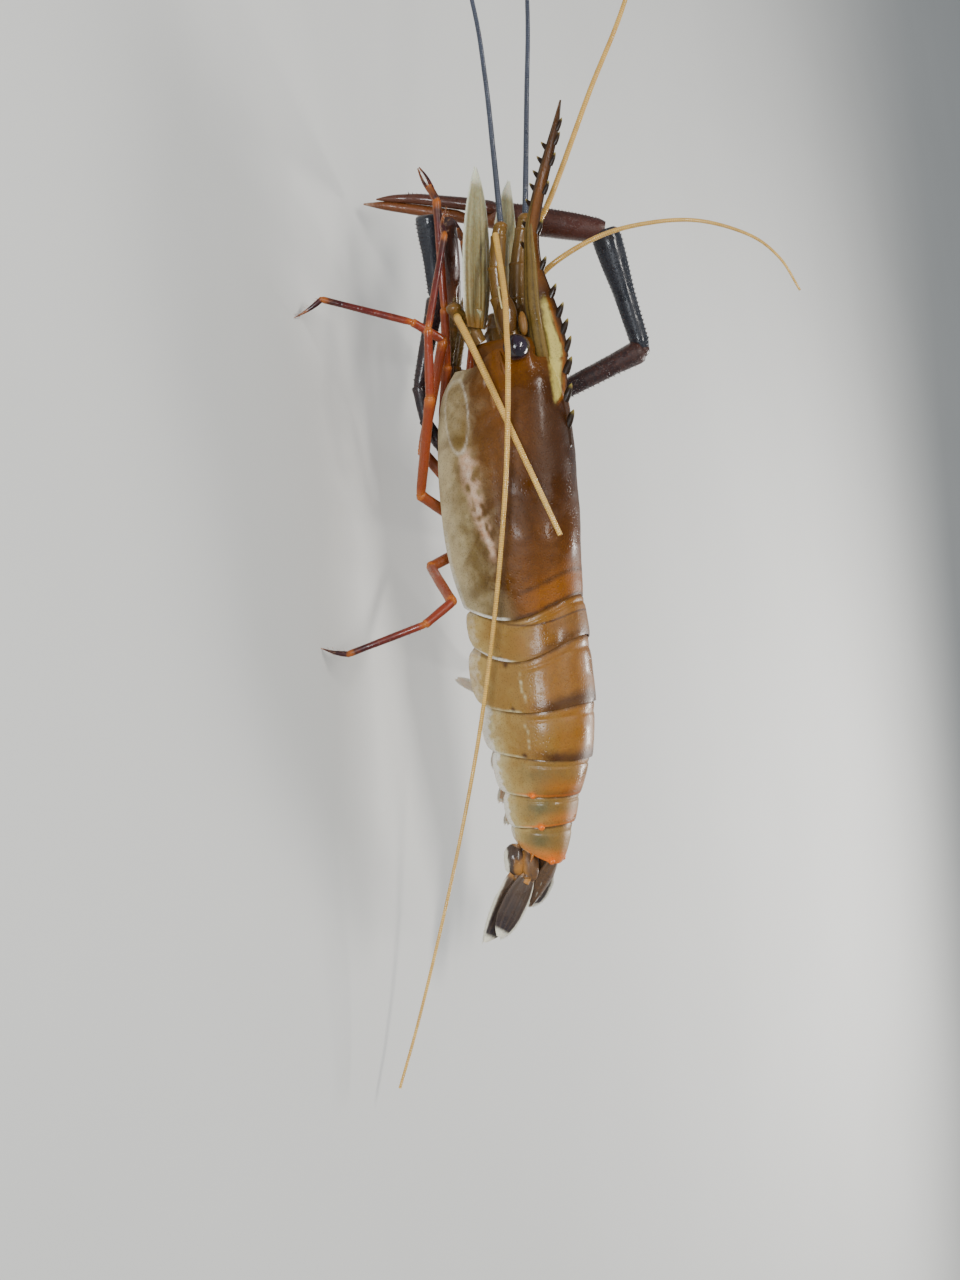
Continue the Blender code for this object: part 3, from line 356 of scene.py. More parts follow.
def trunk_colours(low, middle, high, dark, pale, warm, grey):
    """A colour tree that mixes the painted marks over a ramp from hem to ridge."""
    def colours(tree):
        pigment = use(tree, PIGMENT, Cloud_Size=7.0, Speck_Size=0.55)
        height = drifting(tree, "back", pigment, 0.22)
        flank = mix_colours(tree, stretch(tree, height, 0.02, 0.52), low, middle)
        skin = mix_colours(tree, stretch(tree, height, 0.48, 0.92), flank, high)
        skin = lay_marks(tree, skin, (
            ("grey", grey, 0.8, 0.5), ("warm", warm, 0.85, 0.2), ("dark", dark, 0.95, 0.4),
            ("pale", pale, 0.95, 0.5), ("glint", HIGHLIGHT_PINK, 0.8, 0.5), ("rim", RIM_AND_GLINT_WHITE, 1.0, 0.6)), 1.6)
        skin = mix_colours(tree, times(tree, pigment["Specks"], 0.28), skin, dark)
        return mix_colours(tree, times(tree, pigment["Clouds"], 0.16), skin, middle)
    return colours


# Carapace: the hem colour is painted lighter and the back colours darker than the shell's own, partly its own
# colour and partly painted light and shade
SHELL = living_finish("carapace_shell", trunk_colours(
    low=(0.49, 0.40, 0.23), middle=(0.066, 0.025, 0.003), high=(0.036, 0.010, 0.001),
    dark=(0.010, 0.005, 0.002), pale=(0.56, 0.46, 0.12), warm=(0.27, 0.085, 0.005),
    grey=(0.175, 0.112, 0.025)), relief=(0.75, 0.3, 5.0, 0.6), damp=(0.20, 0.46, 11.0), coat=0.09, shine=0.18)
TAIL_SHELL = living_finish("tail_shell", trunk_colours(
    low=(0.42, 0.29, 0.095), middle=(0.26, 0.138, 0.028), high=(0.26, 0.100, 0.008),
    dark=(0.050, 0.015, 0.004), pale=(0.66, 0.60, 0.36), warm=(0.85, 0.16, 0.004),
    grey=(0.075, 0.085, 0.045)), relief=(0.7, 0.3, 4.0, 0.5), damp=(0.22, 0.48, 8.0), coat=0.12, shine=0.28)
print("trunk finishes:", SHELL.name, TAIL_SHELL.name)

# %% [markdown]
# A mesh here is gathered shell by shell from rings of points. Lofting rings is the plain way to
# make plates, legs and whips alike, and it lets every point carry painted values with it. The list
# below names those values.

# %% The gatherer of shells
# One of these values carries a painted highlight streak, and rim carries painted highlights as well as pale
# edges
VALUES = ("back", "dark", "pale", "warm", "grey", "glint", "rim", "along", "far", "rib")
# Edges that bend more than this stay crisp
CREASE = math.radians(50)
SIDES = {"left": -1.0, "right": 1.0}


class Shape:
    """The shells of one piece, in millimetres, with the values painted on their points."""

    def __init__(self):
        self.points, self.faces, self.values, self.count = [], [], [], 0

    def add(self, points, faces, **values):
        points = np.asarray(points, float)
        self.faces.extend([[index + self.count for index in face] for face in faces])
        self.points.append(points)
        self.values.append(np.stack([
            np.broadcast_to(np.asarray(values.get(name, 0.0), float), len(points)) for name in VALUES
        ]))
        self.count += len(points)

    def loft(self, rings, **values):
        """A closed skin through rings of as many points each."""
        rings = np.asarray(rings, float)
        count, sides = rings.shape[:2]
        faces = []
        for i in range(count - 1):
            for j in range(sides):
                k = (j + 1) % sides
                faces.append((i * sides + j, i * sides + k, (i + 1) * sides + k, (i + 1) * sides + j))
        first, last = count * sides, count * sides + 1
        for j in range(sides):
            k = (j + 1) % sides
            faces.append((first, k, j))
            faces.append((last, (count - 1) * sides + j, (count - 1) * sides + k))
        painted_values = {}
        for name, value in values.items():
            value = np.broadcast_to(np.asarray(value, float), (count, sides))
            painted_values[name] = np.append(value.ravel(), [value[0].mean(), value[-1].mean()])
        points = np.concatenate([rings.reshape(-1, 3), rings[[0, -1]].mean(axis=1)])
        self.add(points, faces, **painted_values)


def make_piece(name, shape, finish, nodes):
    """The piece of a shape, in metres, standing for CAD nodes."""
    mesh = bpy.data.meshes.new(name)
    mesh.from_pydata((np.concatenate(shape.points) * 0.001).tolist(), [], shape.faces)
    for label, values in zip(VALUES, np.concatenate(shape.values, axis=1)):
        mesh.attributes.new(label, "FLOAT", "POINT").data.foreach_set("value", values.astype(np.float32))
    work = bmesh.new()
    work.from_mesh(mesh)
    bmesh.ops.recalc_face_normals(work, faces=work.faces)
    work.to_mesh(mesh)
    work.free()
    mesh.shade_smooth()
    mesh.set_sharp_from_angle(angle=CREASE)
    mesh.materials.append(finish)
    piece = bpy.data.objects.new(name, mesh)
    bpy.context.scene.collection.objects.link(piece)
    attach(piece, "root")
    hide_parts(*nodes)
    print(name, "has", len(mesh.polygons), "faces")


def mirrored(points, side):
    """Points of the right side, on the side asked for."""
    return np.array(points, float) * (1.0, side, 1.0)


def clipped(values):
    """Painted values held between 0 and 1."""
    return {label: np.clip(value, 0, 1) for label, value in values.items()}


print("painted values:", VALUES)

# %% [markdown]
# The CAD source gives the trunk as a few stations: ridge, waist, hem and belly at each x. Between
# stations the real back curves, so the values are carried on smooth curves through the stations
# instead of straight lines.

# %% Curves through stations
def smooth_stations(stations, places):
    """The stations' values at other places, on smooth curves. The first value is the place."""
    table = np.array(sorted(stations), float)
    x, table = table[:, 0], table[:, 1:]
    slopes = np.gradient(table, x, axis=0)
    places = np.asarray(places, float)
    i = np.clip(np.searchsorted(x, places, side="right") - 1, 0, len(x) - 2)
    step = (x[i + 1] - x[i])[:, None]
    t = ((places - x[i]) / step[:, 0])[:, None]
    return ((2 * t**3 - 3 * t**2 + 1) * table[i] + (t**3 - 2 * t**2 + t) * slopes[i] * step
            + (3 * t**2 - 2 * t**3) * table[i + 1] + (t**3 - t**2) * slopes[i + 1] * step)


def rise(value, low, high):
    """0 below low, 1 above high, and smooth between."""
    t = np.clip((np.asarray(value, float) - low) / (high - low), 0.0, 1.0)
    return t * t * (3 - 2 * t)


def hump(value, centre, width):
    """1 at the centre, and falling off smoothly over the width."""
    return np.exp(-((np.asarray(value, float) - centre) / width) ** 2)


print("half way from 0 to 1:", float(rise(0.5, 0.0, 1.0)))

# %% [markdown]
# A section of the trunk is a round back over flanks that turn in to a free hem. The shell is thin
# there, so the hem gets a rounded rim and an inner wall. Points lie closest along the ridge, where
# the crest needs them.

# %% A section of the trunk
AXIS_HEIGHT = 38.0
CREST_FOOT = 50.9
FLAP = 1.2
EDGE_TOP, EDGE_LOW = 52.0, 24.0
BACK_STEPS, FLANK_STEPS = 44, 30


def edge_shift(height, bow, lean):
    """How far back the edge of a plate stands at a height."""
    share = np.clip((EDGE_TOP - height) / (EDGE_TOP - EDGE_LOW), 0.0, 1.0)
    return bow * np.sin(math.pi * share) + lean * share


def trunk_section(x, ridge, waist, half_width, hem, hem_width, belly, bow=0.0, lean=0.0, crest=None):
    """The points of one section, and how high each stands between hem and ridge."""
    turn = math.pi / 2 * (1 - np.linspace(0, 1, BACK_STEPS, endpoint=False) ** 1.25)
    fall = np.linspace(0, 1, FLANK_STEPS + 1)
    floor = max(belly, hem + 0.4)
    wall = [(hem_width - 0.2, hem - 0.22), (hem_width - 0.6, hem - 0.3), (hem_width - 1.0, hem - 0.15),
            (hem_width - FLAP, hem + 0.2), (hem_width - FLAP - 0.3, floor), (hem_width * 0.5, floor)]
    y = np.concatenate([half_width * np.abs(np.cos(turn)) ** 0.92,
                        half_width - (half_width - hem_width) * fall ** 2.2, [p[0] for p in wall]])
    z = np.concatenate([waist + (ridge - waist) * np.sin(turn), waist - (waist - hem) * fall,
                        [p[1] for p in wall]])
    if crest is not None:
        top, half = crest
        blade = top - (top - CREST_FOOT) * (y / max(half, 0.2)) ** 1.6 * 0.6
        z = np.where(z > waist, z + np.logaddexp(0.0, (blade - z) * 3.0) / 3.0, z)
    high = np.clip((z - hem) / (ridge - hem), 0.0, 1.1)
    high[-len(wall):] = 0.0
    y, z, high = (np.concatenate([part, [last], part[:0:-1]]) for part, last in (
        (y, 0.0), (z, floor), (high, 0.0)))
    y[len(y) // 2 + 1:] *= -1
    return np.stack([x + edge_shift(z, bow, lean), y, z], -1), high


SECTION_SIZE = len(trunk_section(0, 50, 40, 14, 23, 11, 27)[0])
print("points in a section:", SECTION_SIZE)

# %% [markdown]
# The carapace covers head and breast in one plate. Its numbers repeat the CAD source, station by
# station, and both ends turn in to a lip. The front edge reaches forward between cheek and crest.

# %% Shape of the carapace
CARAPACE_FRONT, CARAPACE_REAR = 7.0, 66.9
CREST_END = 30.0
BELLY = 27.0
# Place, ridge, waist, half width, hem, half width of the hem, and belly
CARAPACE = (
    (CARAPACE_FRONT, 53.4, 41.4, 10.0, 30.2, 8.8, 31.7),
    (10.2, 54.2, 40.8, 11.5, 27.9, 9.8, BELLY + 2.6),
    (11.2, 54.4, 40.5, 11.9, 27.3, 10.1, BELLY + 0.4),
    (17.0, 55.0, 39.3, 13.2, 25.3, 11.0, BELLY),
    (26.0, 55.1, 38.0, 14.4, 23.7, 11.6, BELLY),
    (40.0, 54.2, 37.0, 14.9, 22.5, 12.0, BELLY),
    (53.0, 53.2, 36.4, 14.5, 22.3, 11.6, BELLY),
    (60.5, 52.3, 36.1, 13.6, 23.0, 11.0, BELLY),
    (CARAPACE_REAR, 51.6, 36.0, 12.5, 24.2, 10.4, BELLY + 1.6),
)
# Place, foot, top and half width of the crest
CREST = ((CARAPACE_FRONT, CREST_FOOT, 57.7, 2.0), (10.0, CREST_FOOT, 57.1, 1.8),
         (15.0, CREST_FOOT, 56.2, 1.6), (22.0, 51.0, 55.7, 1.3), (CREST_END, 51.0, 55.1, 0.9))
# Where each plate ends at the ridge, and how its edge bows and leans below
EDGES = ((CARAPACE_REAR, 4.7, -0.5), (77.1, 4.8, -0.4), (94.2, 1.9, -3.0), (109.0, 0.5, -6.0),
         (118.4, 0.3, -4.5), (124.6, 0.3, -1.5), (146.1, 0.0, -20.5))


def swell(points, amount):
    """Moves points out from the trunk's long axis by amounts in millimetres."""
    out = points * (0, 1, 1) - (0, 0, AXIS_HEIGHT)
    out /= np.linalg.norm(out, axis=-1, keepdims=True) + 1e-9
    return points + out * np.asarray(amount)[..., None]


def soft_noise(points, size, seed):
    """Smooth noise from -1 to 1 at each point, with features of about that size."""
    flat = points.reshape(-1, 3) / size + seed
    return np.array([noise.noise(Vector(point)) for point in flat]).reshape(points.shape[:-1])


def carapace_shape():
    """The rings of the carapace, and how high each point stands between hem and ridge."""
    places = np.concatenate([
        np.linspace(CARAPACE_FRONT, 12, 24, endpoint=False), np.linspace(12, CARAPACE_REAR, 150)])
    stations = smooth_stations(CARAPACE, places)
    bent = np.interp(places, (40.0, 53.0, 60.5, CARAPACE_REAR), (0.0, 0.15, 0.55, 1.0))
    crests = smooth_stations(CREST, np.clip(places, CARAPACE_FRONT, CREST_END))
    _, edge_bow, edge_lean = EDGES[0]
    rings, heights = [], []
    lips = [(7.9, 0, 1.0), (7.2, 0, 0.55)] + [(x, i, 0.0) for i, x in enumerate(places)]
    lips += [(CARAPACE_REAR, len(places) - 1, 0.45), (65.6, len(places) - 1, 0.75)]
    for x, i, inset in lips:
        ridge, waist, half_width, hem, hem_width, belly = stations[i]
        _, top, half = crests[i]
        ring, high = trunk_section(
            x, ridge - inset, waist, half_width - inset, hem, hem_width - inset, belly,
            edge_bow * bent[i], edge_lean * bent[i], (top - inset, half) if places[i] < CREST_END else None)
        z = ring[:, 2]
        ring[:, 0] -= 3.3 * rise(z, 35.0, 43.0) * rise(51.6, z, z + 1.6) * rise(12.0 - x, 0.0, 5.0)
        rings.append(ring)
        heights.append(high)
    return np.array(rings), np.array(heights)


CARAPACE_RINGS, CARAPACE_HIGH = carapace_shape()
print("carapace rings:", len(CARAPACE_RINGS))

# %% [markdown]
# The marks of the carapace follow the animal: a pale band edged with orange beside the crest, an
# amber strip over the back before its rear edge, and a white rim low on that edge. On the flank a
# ragged pinkish streak and a grey oval with a pale outline are painted highlights and reflections of
# the wet shell. A faint groove runs down behind the cheek, and the gill cover swells below it.

# %% Marks of the carapace
# How much lower a thing looks from the camera for each millimetre that it lies further out
VIEW_SLANT = 0.466
# The heights of the painted highlight streak along the flank
STREAK_X, STREAK_Z = (28.0, 35.0, 41.6, 48.1, 56.5), (32.2, 32.7, 33.5, 34.7, 36.2)


def crest_band(x, y, z):
    """The pale band beside the crest, and the orange line above it, as the photo's view sees them."""
    seen = z - VIEW_SLANT * (y - 1.5)
    top = np.interp(x, (-8.0, 0.7, 5.0, 13.0, 17.0, 19.5), (54.4, 55.8, 56.8, 55.8, 55.1, 53.0))
    part = rise(x, -9.5, -6.0) * rise(20.5 - x, 0.0, 3.0) * (y > 0.3)
    pale = (0.35 + 0.65 * rise(seen, 52.4, 54.0)) * rise(seen, 52.1, 52.9) * rise(top - seen, 0.0, 0.4)
    return pale * part, hump(seen, top + 0.45, 0.4) * part


def make_carapace(rings, high):
    """The carapace from its rings. Rear is how far a point lies before the rear edge."""
    x, y, z = rings[..., 0], np.abs(rings[..., 1]), rings[..., 2]
    outer = (high > 0.0) * rise(x, 8.0, 11.0)
    groove = hump(z - (52.0 - (x - 13.0) * 1.25), 0.0, 2.4) * rise(x, 12.5, 17.0) * rise(26.5, x, x + 4.0)
    cover = hump(x, 18.0, 9.5) * hump(z, 31.5, 4.6)
    lower_groove = hump(z, 40.5 - 0.02 * (x - 20.0), 1.3) * rise(x, 22.0, 30.0) * rise(58.0 - x, 0.0, 8.0)
    relief = (0.45 * cover - 0.22 * groove - 0.16 * lower_groove + 0.22 * soft_noise(rings, 9.0, 3.0)
              + 0.07 * soft_noise(rings, 2.6, 8.0)) * outer
    rings = swell(rings, relief)
    rear = edge_shift(z, *EDGES[0][1:]) + CARAPACE_REAR - x
    pale, orange = crest_band(x, y, z)
    rim = rise(0.9 - rear, 0.0, 0.4) * rise(0.50 - high, 0.0, 0.10)
    rim = rim + 0.6 * rise(0.05 - high, 0.0, 0.04) * rise(x, 40.0, 60.0)
    # A painted highlight: a ragged pinkish streak of reflected light on the wet flank
    torn = rise(soft_noise(rings * (0.6, 1.0, 1.0), 1.5, 4.0), -0.45, 0.15)
    highlight_streak = hump(z, np.interp(x, STREAK_X, STREAK_Z), 3.6 - 0.045 * x)
    highlight_streak = highlight_streak * torn * rise(x, 26.5, 30.0) * rise(57.5 - x, 0.0, 5.0)
    # A painted reflection: a grey oval low on the gill cover, its fill painted into grey and its outline into
    # the rim
    reflection_oval = np.hypot((x - 18.6) / 9.6, (z - 30.8) / 3.5)
    cheek_line = 0.5 * hump(z, 39.3, 0.3) * rise(13.5 - x, 0.0, 3.0)
    # The streak's white core and the oval's outline, added here to the rim, are painted highlights; the rest
    # of the rim is the shell's pale edge
    rim = rim + outer * (0.32 * highlight_streak + 0.40 * hump(reflection_oval, 1.0, 0.055) + cheek_line)
    warm = rise(9.5 - rear, 0.0, 5.0) * rise(high, 0.50, 0.80) * 0.5
    warm = warm + rise(16.0 - x, 0.0, 10.0) * 0.35 * rise(high, 0.2, 0.7)
    warm = warm + orange + 0.42 * rise(x, 34.0, 62.0) * rise(high, 0.35, 0.7)
    warm = warm + 0.40 * hump(high, 0.58, 0.26) * rise(48.0 - x, 0.0, 20.0)
    dark = rise(z, 57.0, 57.6) + 0.75 * hump(rear, 0.2, 0.55) * rise(high, 0.45, 0.6)
    dark = dark + 0.55 * hump(rear, 6.2, 0.7) * rise(high, 0.5, 0.7)
    dark = dark + 0.6 * rise(z, 54.2, 55.6) * rise(x, 19.0, 26.0) * rise(high, 0.9, 1.0)
    # The second term is the painted grey fill of the reflection oval
    grey = 0.6 * hump(high, 0.25, 0.16) * rise(x, 16.0, 30.0) + 0.5 * rise(1.0 - reflection_oval, 0.0, 0.2)
    shape = Shape()
    shape.loft(rings, back=high + 0.06 * rise(42.0 - x, 0.0, 24.0), grey=grey,
               **clipped({"pale": pale, "warm": warm, "dark": dark, "glint": 1.2 * highlight_streak, "rim": rim}))
    return shape


carapace = make_carapace(CARAPACE_RINGS, CARAPACE_HIGH)
print("carapace points:", carapace.count)

# %% [markdown]
# Horns, legs, eyes and whips are all tubes: rings set square to a path. Each ring takes its first
# axis from the one before, so that a tube doesn't twist. A path that needs to be smooth is carried
# through a few given points.

# %% Tubes and routes
def tube_rings(path, radii, sides, hint=(0.0, 0.0, 1.0), flat=1.0):
    """Rings round a path. The first axis of each ring leans to the hint; flat squeezes the second."""
    path = np.asarray(path, float)
    radii = np.broadcast_to(np.asarray(radii, float), len(path))
    flat = np.broadcast_to(np.asarray(flat, float), len(path))
    ways = np.gradient(path, axis=0)
    ways /= np.linalg.norm(ways, axis=1, keepdims=True)
    turn = np.linspace(0, math.tau, sides, endpoint=False)
    first, rings = np.asarray(hint, float), []
    for centre, way, radius, squeeze in zip(path, ways, radii, flat):
        first = first - way * (first @ way)
        if np.linalg.norm(first) < 1e-6:
            first = np.cross(way, (0.3, 1.0, 0.2))
        first = first / np.linalg.norm(first)
        second = np.cross(way, first)
        spoke = np.cos(turn)[:, None] * first + squeeze * np.sin(turn)[:, None] * second
        rings.append(centre + radius * spoke)
    return np.array(rings)


def unit(vector):
    vector = np.asarray(vector, float)
    return vector / np.linalg.norm(vector)


def square_to(way, hint):
    """The direction square to a unit way that lies nearest to the hint."""
    hint = np.asarray(hint, float)
    return unit(hint - way * (hint @ way))


def upper_half(rings):
    """1 on the upper side of each ring and 0 on its lower side."""
    z = rings[..., 2]
    low, high = z.min(axis=1, keepdims=True), z.max(axis=1, keepdims=True)
    return (z - low) / (high - low + 1e-6)


def smooth_route(points, step):
    """Points a step apart on one smooth curve through the route's own points."""
    route = np.array(points, float)
    route = np.concatenate([[route[0] * 2 - route[1]], route, [route[-1] * 2 - route[-2]]])
    made = []
    for before, a, b, after in zip(route, route[1:], route[2:], route[3:]):
        t = np.arange(0, 1, step / np.linalg.norm(b - a))[:, None]
        made.append(0.5 * (2 * a + (b - before) * t + (2 * before - 5 * a + 4 * b - after) * t ** 2
                           + (3 * a - before - 3 * b + after) * t ** 3))
    return np.concatenate([*made, route[-2:-1]])


print("tube and route helpers are ready")

# %% [markdown]
# Teeth and spines are small curved horns, flat from side to side. Each is a short loft along a bent
# path. The path bends forward, since the prawn swims into what it stabs.

# %% Horns
HORN_T = np.linspace(0, 1, 9)[:, None]
# Dark horn with a paler tip
HORN_PAINT = {
    "dark": 1 - 0.6 * rise(HORN_T, 0.55, 0.95), "pale": 0.55 * rise(HORN_T, 0.6, 1.0), "back": 0.9}


def add_horn(shape, foot, tip, radius, lean=(0.0, 0.0, 0.0), sides=12, flat=0.6, **values):
    """A horn from its sunk foot to its tip; lean bends its middle."""
    foot, tip, lean = (np.asarray(point, float) for point in (foot, tip, lean))
    path = foot + (tip - foot) * HORN_T + lean * (4 * HORN_T * (1 - HORN_T))
    swollen = radius * (1 - HORN_T[:, 0] ** 1.3) ** 0.8 + 0.05
    shape.loft(tube_rings(path, swollen, sides, (1.0, 0, 0), flat), **values)


def add_ball(shape, centre, radius, stretch=(1, 1, 1), steps=9, sides=16, **values):
    """A ball, drawn out along x, y and z by the stretch."""
    turn = np.linspace(0.12, math.pi - 0.12, steps)
    path = np.array([(0, 0, math.cos(a)) for a in turn]) * radius
    rings = tube_rings(path, radius * np.sin(turn), sides, (1.0, 0, 0))
    shape.loft(rings * stretch + np.asarray(centre, float), **values)


def edge_at(stations, x, column):
    """One value of the stations at x."""
    return float(smooth_stations(stations, [x])[0][column])


CREST_TEETH_X = (23.5, 17.0, 10.3)
CHEEK_SPINES = (((10.4, 10.4, 44.5), (4.4, 11.0, 44.0)), ((18.4, 12.4, 41.2), (13.0, 14.3, 41.4)))
for tooth_x in CREST_TEETH_X:
    rim = edge_at(CREST, tooth_x, 1)
    add_horn(carapace, (tooth_x + 1.1, 0, rim - 1.0), (tooth_x - 2.6, 0, rim + 1.6), 1.35,
             (-0.2, 0, 0.25), **HORN_PAINT)
for side in SIDES.values():
    for spine in CHEEK_SPINES:
        add_horn(carapace, *mirrored(spine, side), 0.95, flat=0.9, back=0.5, warm=0.5)
make_piece("carapace_plate", carapace, SHELL, ["carapace"])

# %% [markdown]
# Each tail ring slides under the one before it. So a ring starts tucked in, swells over its middle,
# and ends in a thin lip that stands over the next. The side flaps are rounded below.

# %% Shape of the tail rings
GAP = 0.3
# Ridge and half width at both ends, hem, half width of the hem, and belly of each ring
RINGS = (
    (51.2, 51.3, 11.8, 12.2, 24.2, 10.3, 31.0),
    (51.0, 50.6, 11.9, 12.2, 23.4, 10.9, 31.0),
    (50.2, 47.6, 11.6, 11.2, 24.3, 10.2, 30.6),
    (46.9, 43.0, 10.7, 9.2, 25.2, 8.9, 30.4),
    (42.6, 40.4, 8.9, 8.0, 26.0, 7.2, 30.0),
    (40.0, 35.6, 7.6, 5.8, 26.2, 5.4, 27.2),
)
# Share along a ring, how far it swells there, and how far its flap hangs down
RING_PROFILE = (
    (-0.12, -0.5, 0.68), (0.0, 0.5, 0.80), (0.1, 0.7, 0.92), (0.32, 0.95, 1.0),
    (0.58, 1.0, 1.0), (0.82, 0.95, 0.93), (0.94, 0.84, 0.80), (1.0, 0.7, 0.62),
)


def tail_ring(number):
    """The rings of one tail plate, and how high and how far along it each point stands."""
    front, rear = EDGES[number - 1], EDGES[number]
    top0, top1, wide0, wide1, hem, hem_width, belly = RINGS[number - 1]
    x0, x1 = front[0] + GAP, rear[0] + 0.1
    shares = np.concatenate([np.linspace(-0.12, 0.12, 16, endpoint=False), np.linspace(0.12, 1.0, 64)])
    swells = smooth_stations(RING_PROFILE, shares)
    rows = [(share, *pair, 0.0) for share, pair in zip(shares, swells)]
    rows += [(1.0, *swells[-1], 0.25), (0.93, *swells[-1], 0.45)]
    rings, heights = [], []
    for share, grown, drop, inset in rows:
        ridge = top0 + (top1 - top0) * share + 0.8 * grown - inset
        half_width = wide0 + (wide1 - wide0) * share + 0.6 * grown - inset
        waist = belly + (ridge - belly) * 0.30
        flap = belly - (belly - hem) * max(drop, 0.1)
        hem_half = hem_width * half_width / (max(wide0, wide1) + 0.6)
        bow = front[1] + (rear[1] - front[1]) * share
        lean = front[2] + (rear[2] - front[2]) * share
        ring, high = trunk_section(
            x0 + (x1 - x0) * share, ridge, waist, half_width, flap, hem_half, belly, bow, lean)
        rings.append(ring)
        heights.append(high)
    rings, high = np.array(rings), np.array(heights)
    along = np.array([row[0] for row in rows])[:, None] * np.ones(SECTION_SIZE)
    crease = 0.2 * hump(along, 0.16, 0.05) * rise(high, 0.3, 0.6)
    rings = swell(rings, (0.12 * soft_noise(rings, 7.0, number) - crease) * (high > 0))
    return rings, high, along


print("ring shapes:", len(RINGS))

# %% [markdown]
# The marks differ from ring to ring, so a table holds them. Dark spots and orange buttons stand on
# the side flaps where the rings are jointed, and each button is a small raised ball. Rings II and III
# also take a thin painted highlight along the flank.

# %% Marks of the tail rings
# Strength of the dark hinder band, warm back, grey patch and white hem of each ring, and its spots:
# share along the ring, distance from the middle, height, size and the value that they are painted with
RING_MARKS = (
    (0.4, 0.0, 0.0, 0.2, ((0.94, 12.0, 33.0, 0.5, "dark"),)),
    (1.0, 0.0, 0.1, 0.3, ((0.06, 11.6, 34.2, 0.6, "dark"), (0.94, 12.4, 34.8, 0.6, "dark"),
                          (0.94, 8.6, 46.0, 0.6, "dark"))),
    (1.0, 0.0, 0.1, 0.9, ((0.94, 11.6, 35.6, 0.7, "dark"),)),
    (0.5, 0.2, 0.5, 1.0, ((0.97, 9.8, 35.1, 0.85, "warm"),)),
    (0.3, 0.3, 1.0, 1.0, ((1.0, 8.2, 35.5, 0.95, "warm"),)),
    (0.0, 0.3, 1.0, 0.5, ((0.96, 3.4, 34.8, 0.9, "warm"),)),
)
# How much of its height each ring shows as colour, and what its flank gains
BACK_SHARE, FLANK_GAIN = (1.0, 1.0, 0.94, 0.80, 0.57, 0.58), (0.12, 0.12, 0.06, 0.0, 0.0, 0.0)


def ring_paint(number, rings, high, along):
    """The painted values of one tail plate, and the raised buttons on its flaps."""
    dark_amount, warm_amount, grey_amount, hem_amount, spots = RING_MARKS[number - 1]
    x = rings[..., 0]
    # A thin painted highlight along the flank of rings II and III, laid into their pale value
    highlight_streak = hump(high, 0.49 + 0.05 * along + 0.006 * np.sin(x * 2.1), 0.008)
    values = {
        "back": high * BACK_SHARE[number - 1] + FLANK_GAIN[number - 1] * (1 - high),
        "dark": dark_amount * rise(along, 0.70, 0.95) * rise(high, 0.42, 0.8)
                + 0.6 * rise(0.06 - along, 0.0, 0.05) + 0.2 * (number < 3) * rise(high, 0.55, 0.9),
        "warm": warm_amount * rise(high, 0.55, 0.9) * hump(along, 0.78, 0.22)
                + 0.6 * (number > 3) * hump(along, 0.96, 0.03) * rise(high, 0.15, 0.4)
                + 0.42 * (number == 6) * rise(along, 0.5, 0.9),
        "grey": grey_amount * hump(along, 0.36, 0.28) * hump(high, 0.62, 0.26),
        "pale": 0.55 * highlight_streak * rise(along, 0.15, 0.3) * rise(0.85 - along, 0.0, 0.15) * (number in (2, 3))
                + 0.5 * rise(along, 0.93, 0.99) * rise(0.46 - high, 0.0, 0.08)
                + 0.4 * (number > 2) * rise(0.30 - high, 0.0, 0.22),
        "rim": hem_amount * rise(0.12 + 0.05 * soft_noise(rings, 1.3, number) - high, 0.0, 0.05)
               + (number == 1) * rise(along, 0.90, 0.97) * rise(0.40 - high, 0.0, 0.08),
    }
    if number == 1:
        line = 0.05 + 0.34 * rise(high, 0.35, 1.0)
        values["dark"] += 0.8 * hump(along, line, 0.03) * rise(high, 0.3, 0.5)
        values["dark"] += 0.25 * rise(along, line, line + 0.1) * rise(high, 0.5, 0.9)
    buttons = []
    for share, y, z, size, label in spots:
        middle = rings[np.argmin(np.abs(along[:, 0] - share)), :, :]
        for side in SIDES.values():
            near = middle[np.argmin(np.hypot(middle[:, 1] - side * y, middle[:, 2] - z))]
            mask = np.exp(-(np.linalg.norm(rings - near, axis=-1) / size) ** 2)
            values[label] += 1.3 * mask
            if label == "warm":
                out = unit(near * (0, 1, 1) - (0, 0, AXIS_HEIGHT))
                buttons.append((near - out * 0.35 * size, size * 0.95))
    return clipped(values), buttons


for ring_number in range(1, 7):
    rings, high, along = tail_ring(ring_number)
    paint, buttons = ring_paint(ring_number, rings, high, along)
    plate = Shape()
    plate.loft(rings, **paint)
    for centre, radius in buttons:
        add_ball(plate, centre, radius, back=0.6, warm=1.0)
    if ring_number == 6:
        for side in SIDES.values():
            add_horn(plate, (129.4, side * 4.9, 31.8), (133.0, side * 7.0, 31.0), 0.75, flat=0.9,
                     back=0.5, warm=0.3, dark=0.3)
    make_piece(f"tail_ring_{ring_number}", plate, TAIL_SHELL, [f"abdomen_{ring_number}"])

# %% [markdown]
# The rostrum is a keel with a rib along each side, dark teeth above and small ones below. It is
# lofted through tall thin sections, and the rib is part of the section, because it throws the long
# shadow that the eye follows up the blade.

# %% Rostrum
ROSTRUM_FOOT, ROSTRUM_TIP = CARAPACE_FRONT + 0.6, -55.5
# Place, lower edge, upper edge and half width of the blade
ROSTRUM = (
    (ROSTRUM_FOOT, CREST_FOOT, 57.7, 2.0), (2.0, CREST_FOOT, 57.6, 1.9), (-3.0, 49.4, 57.0, 1.8),
    (-9.0, 49.0, 55.7, 1.7), (-17.0, 49.4, 54.1, 1.5), (-26.0, 51.0, 54.8, 1.4), (-33.0, 53.6, 57.2, 1.2),
    (-41.0, 57.4, 60.6, 1.0), (-48.5, 61.3, 63.5, 0.8), (ROSTRUM_TIP, 64.9, 65.4, 0.4),
)
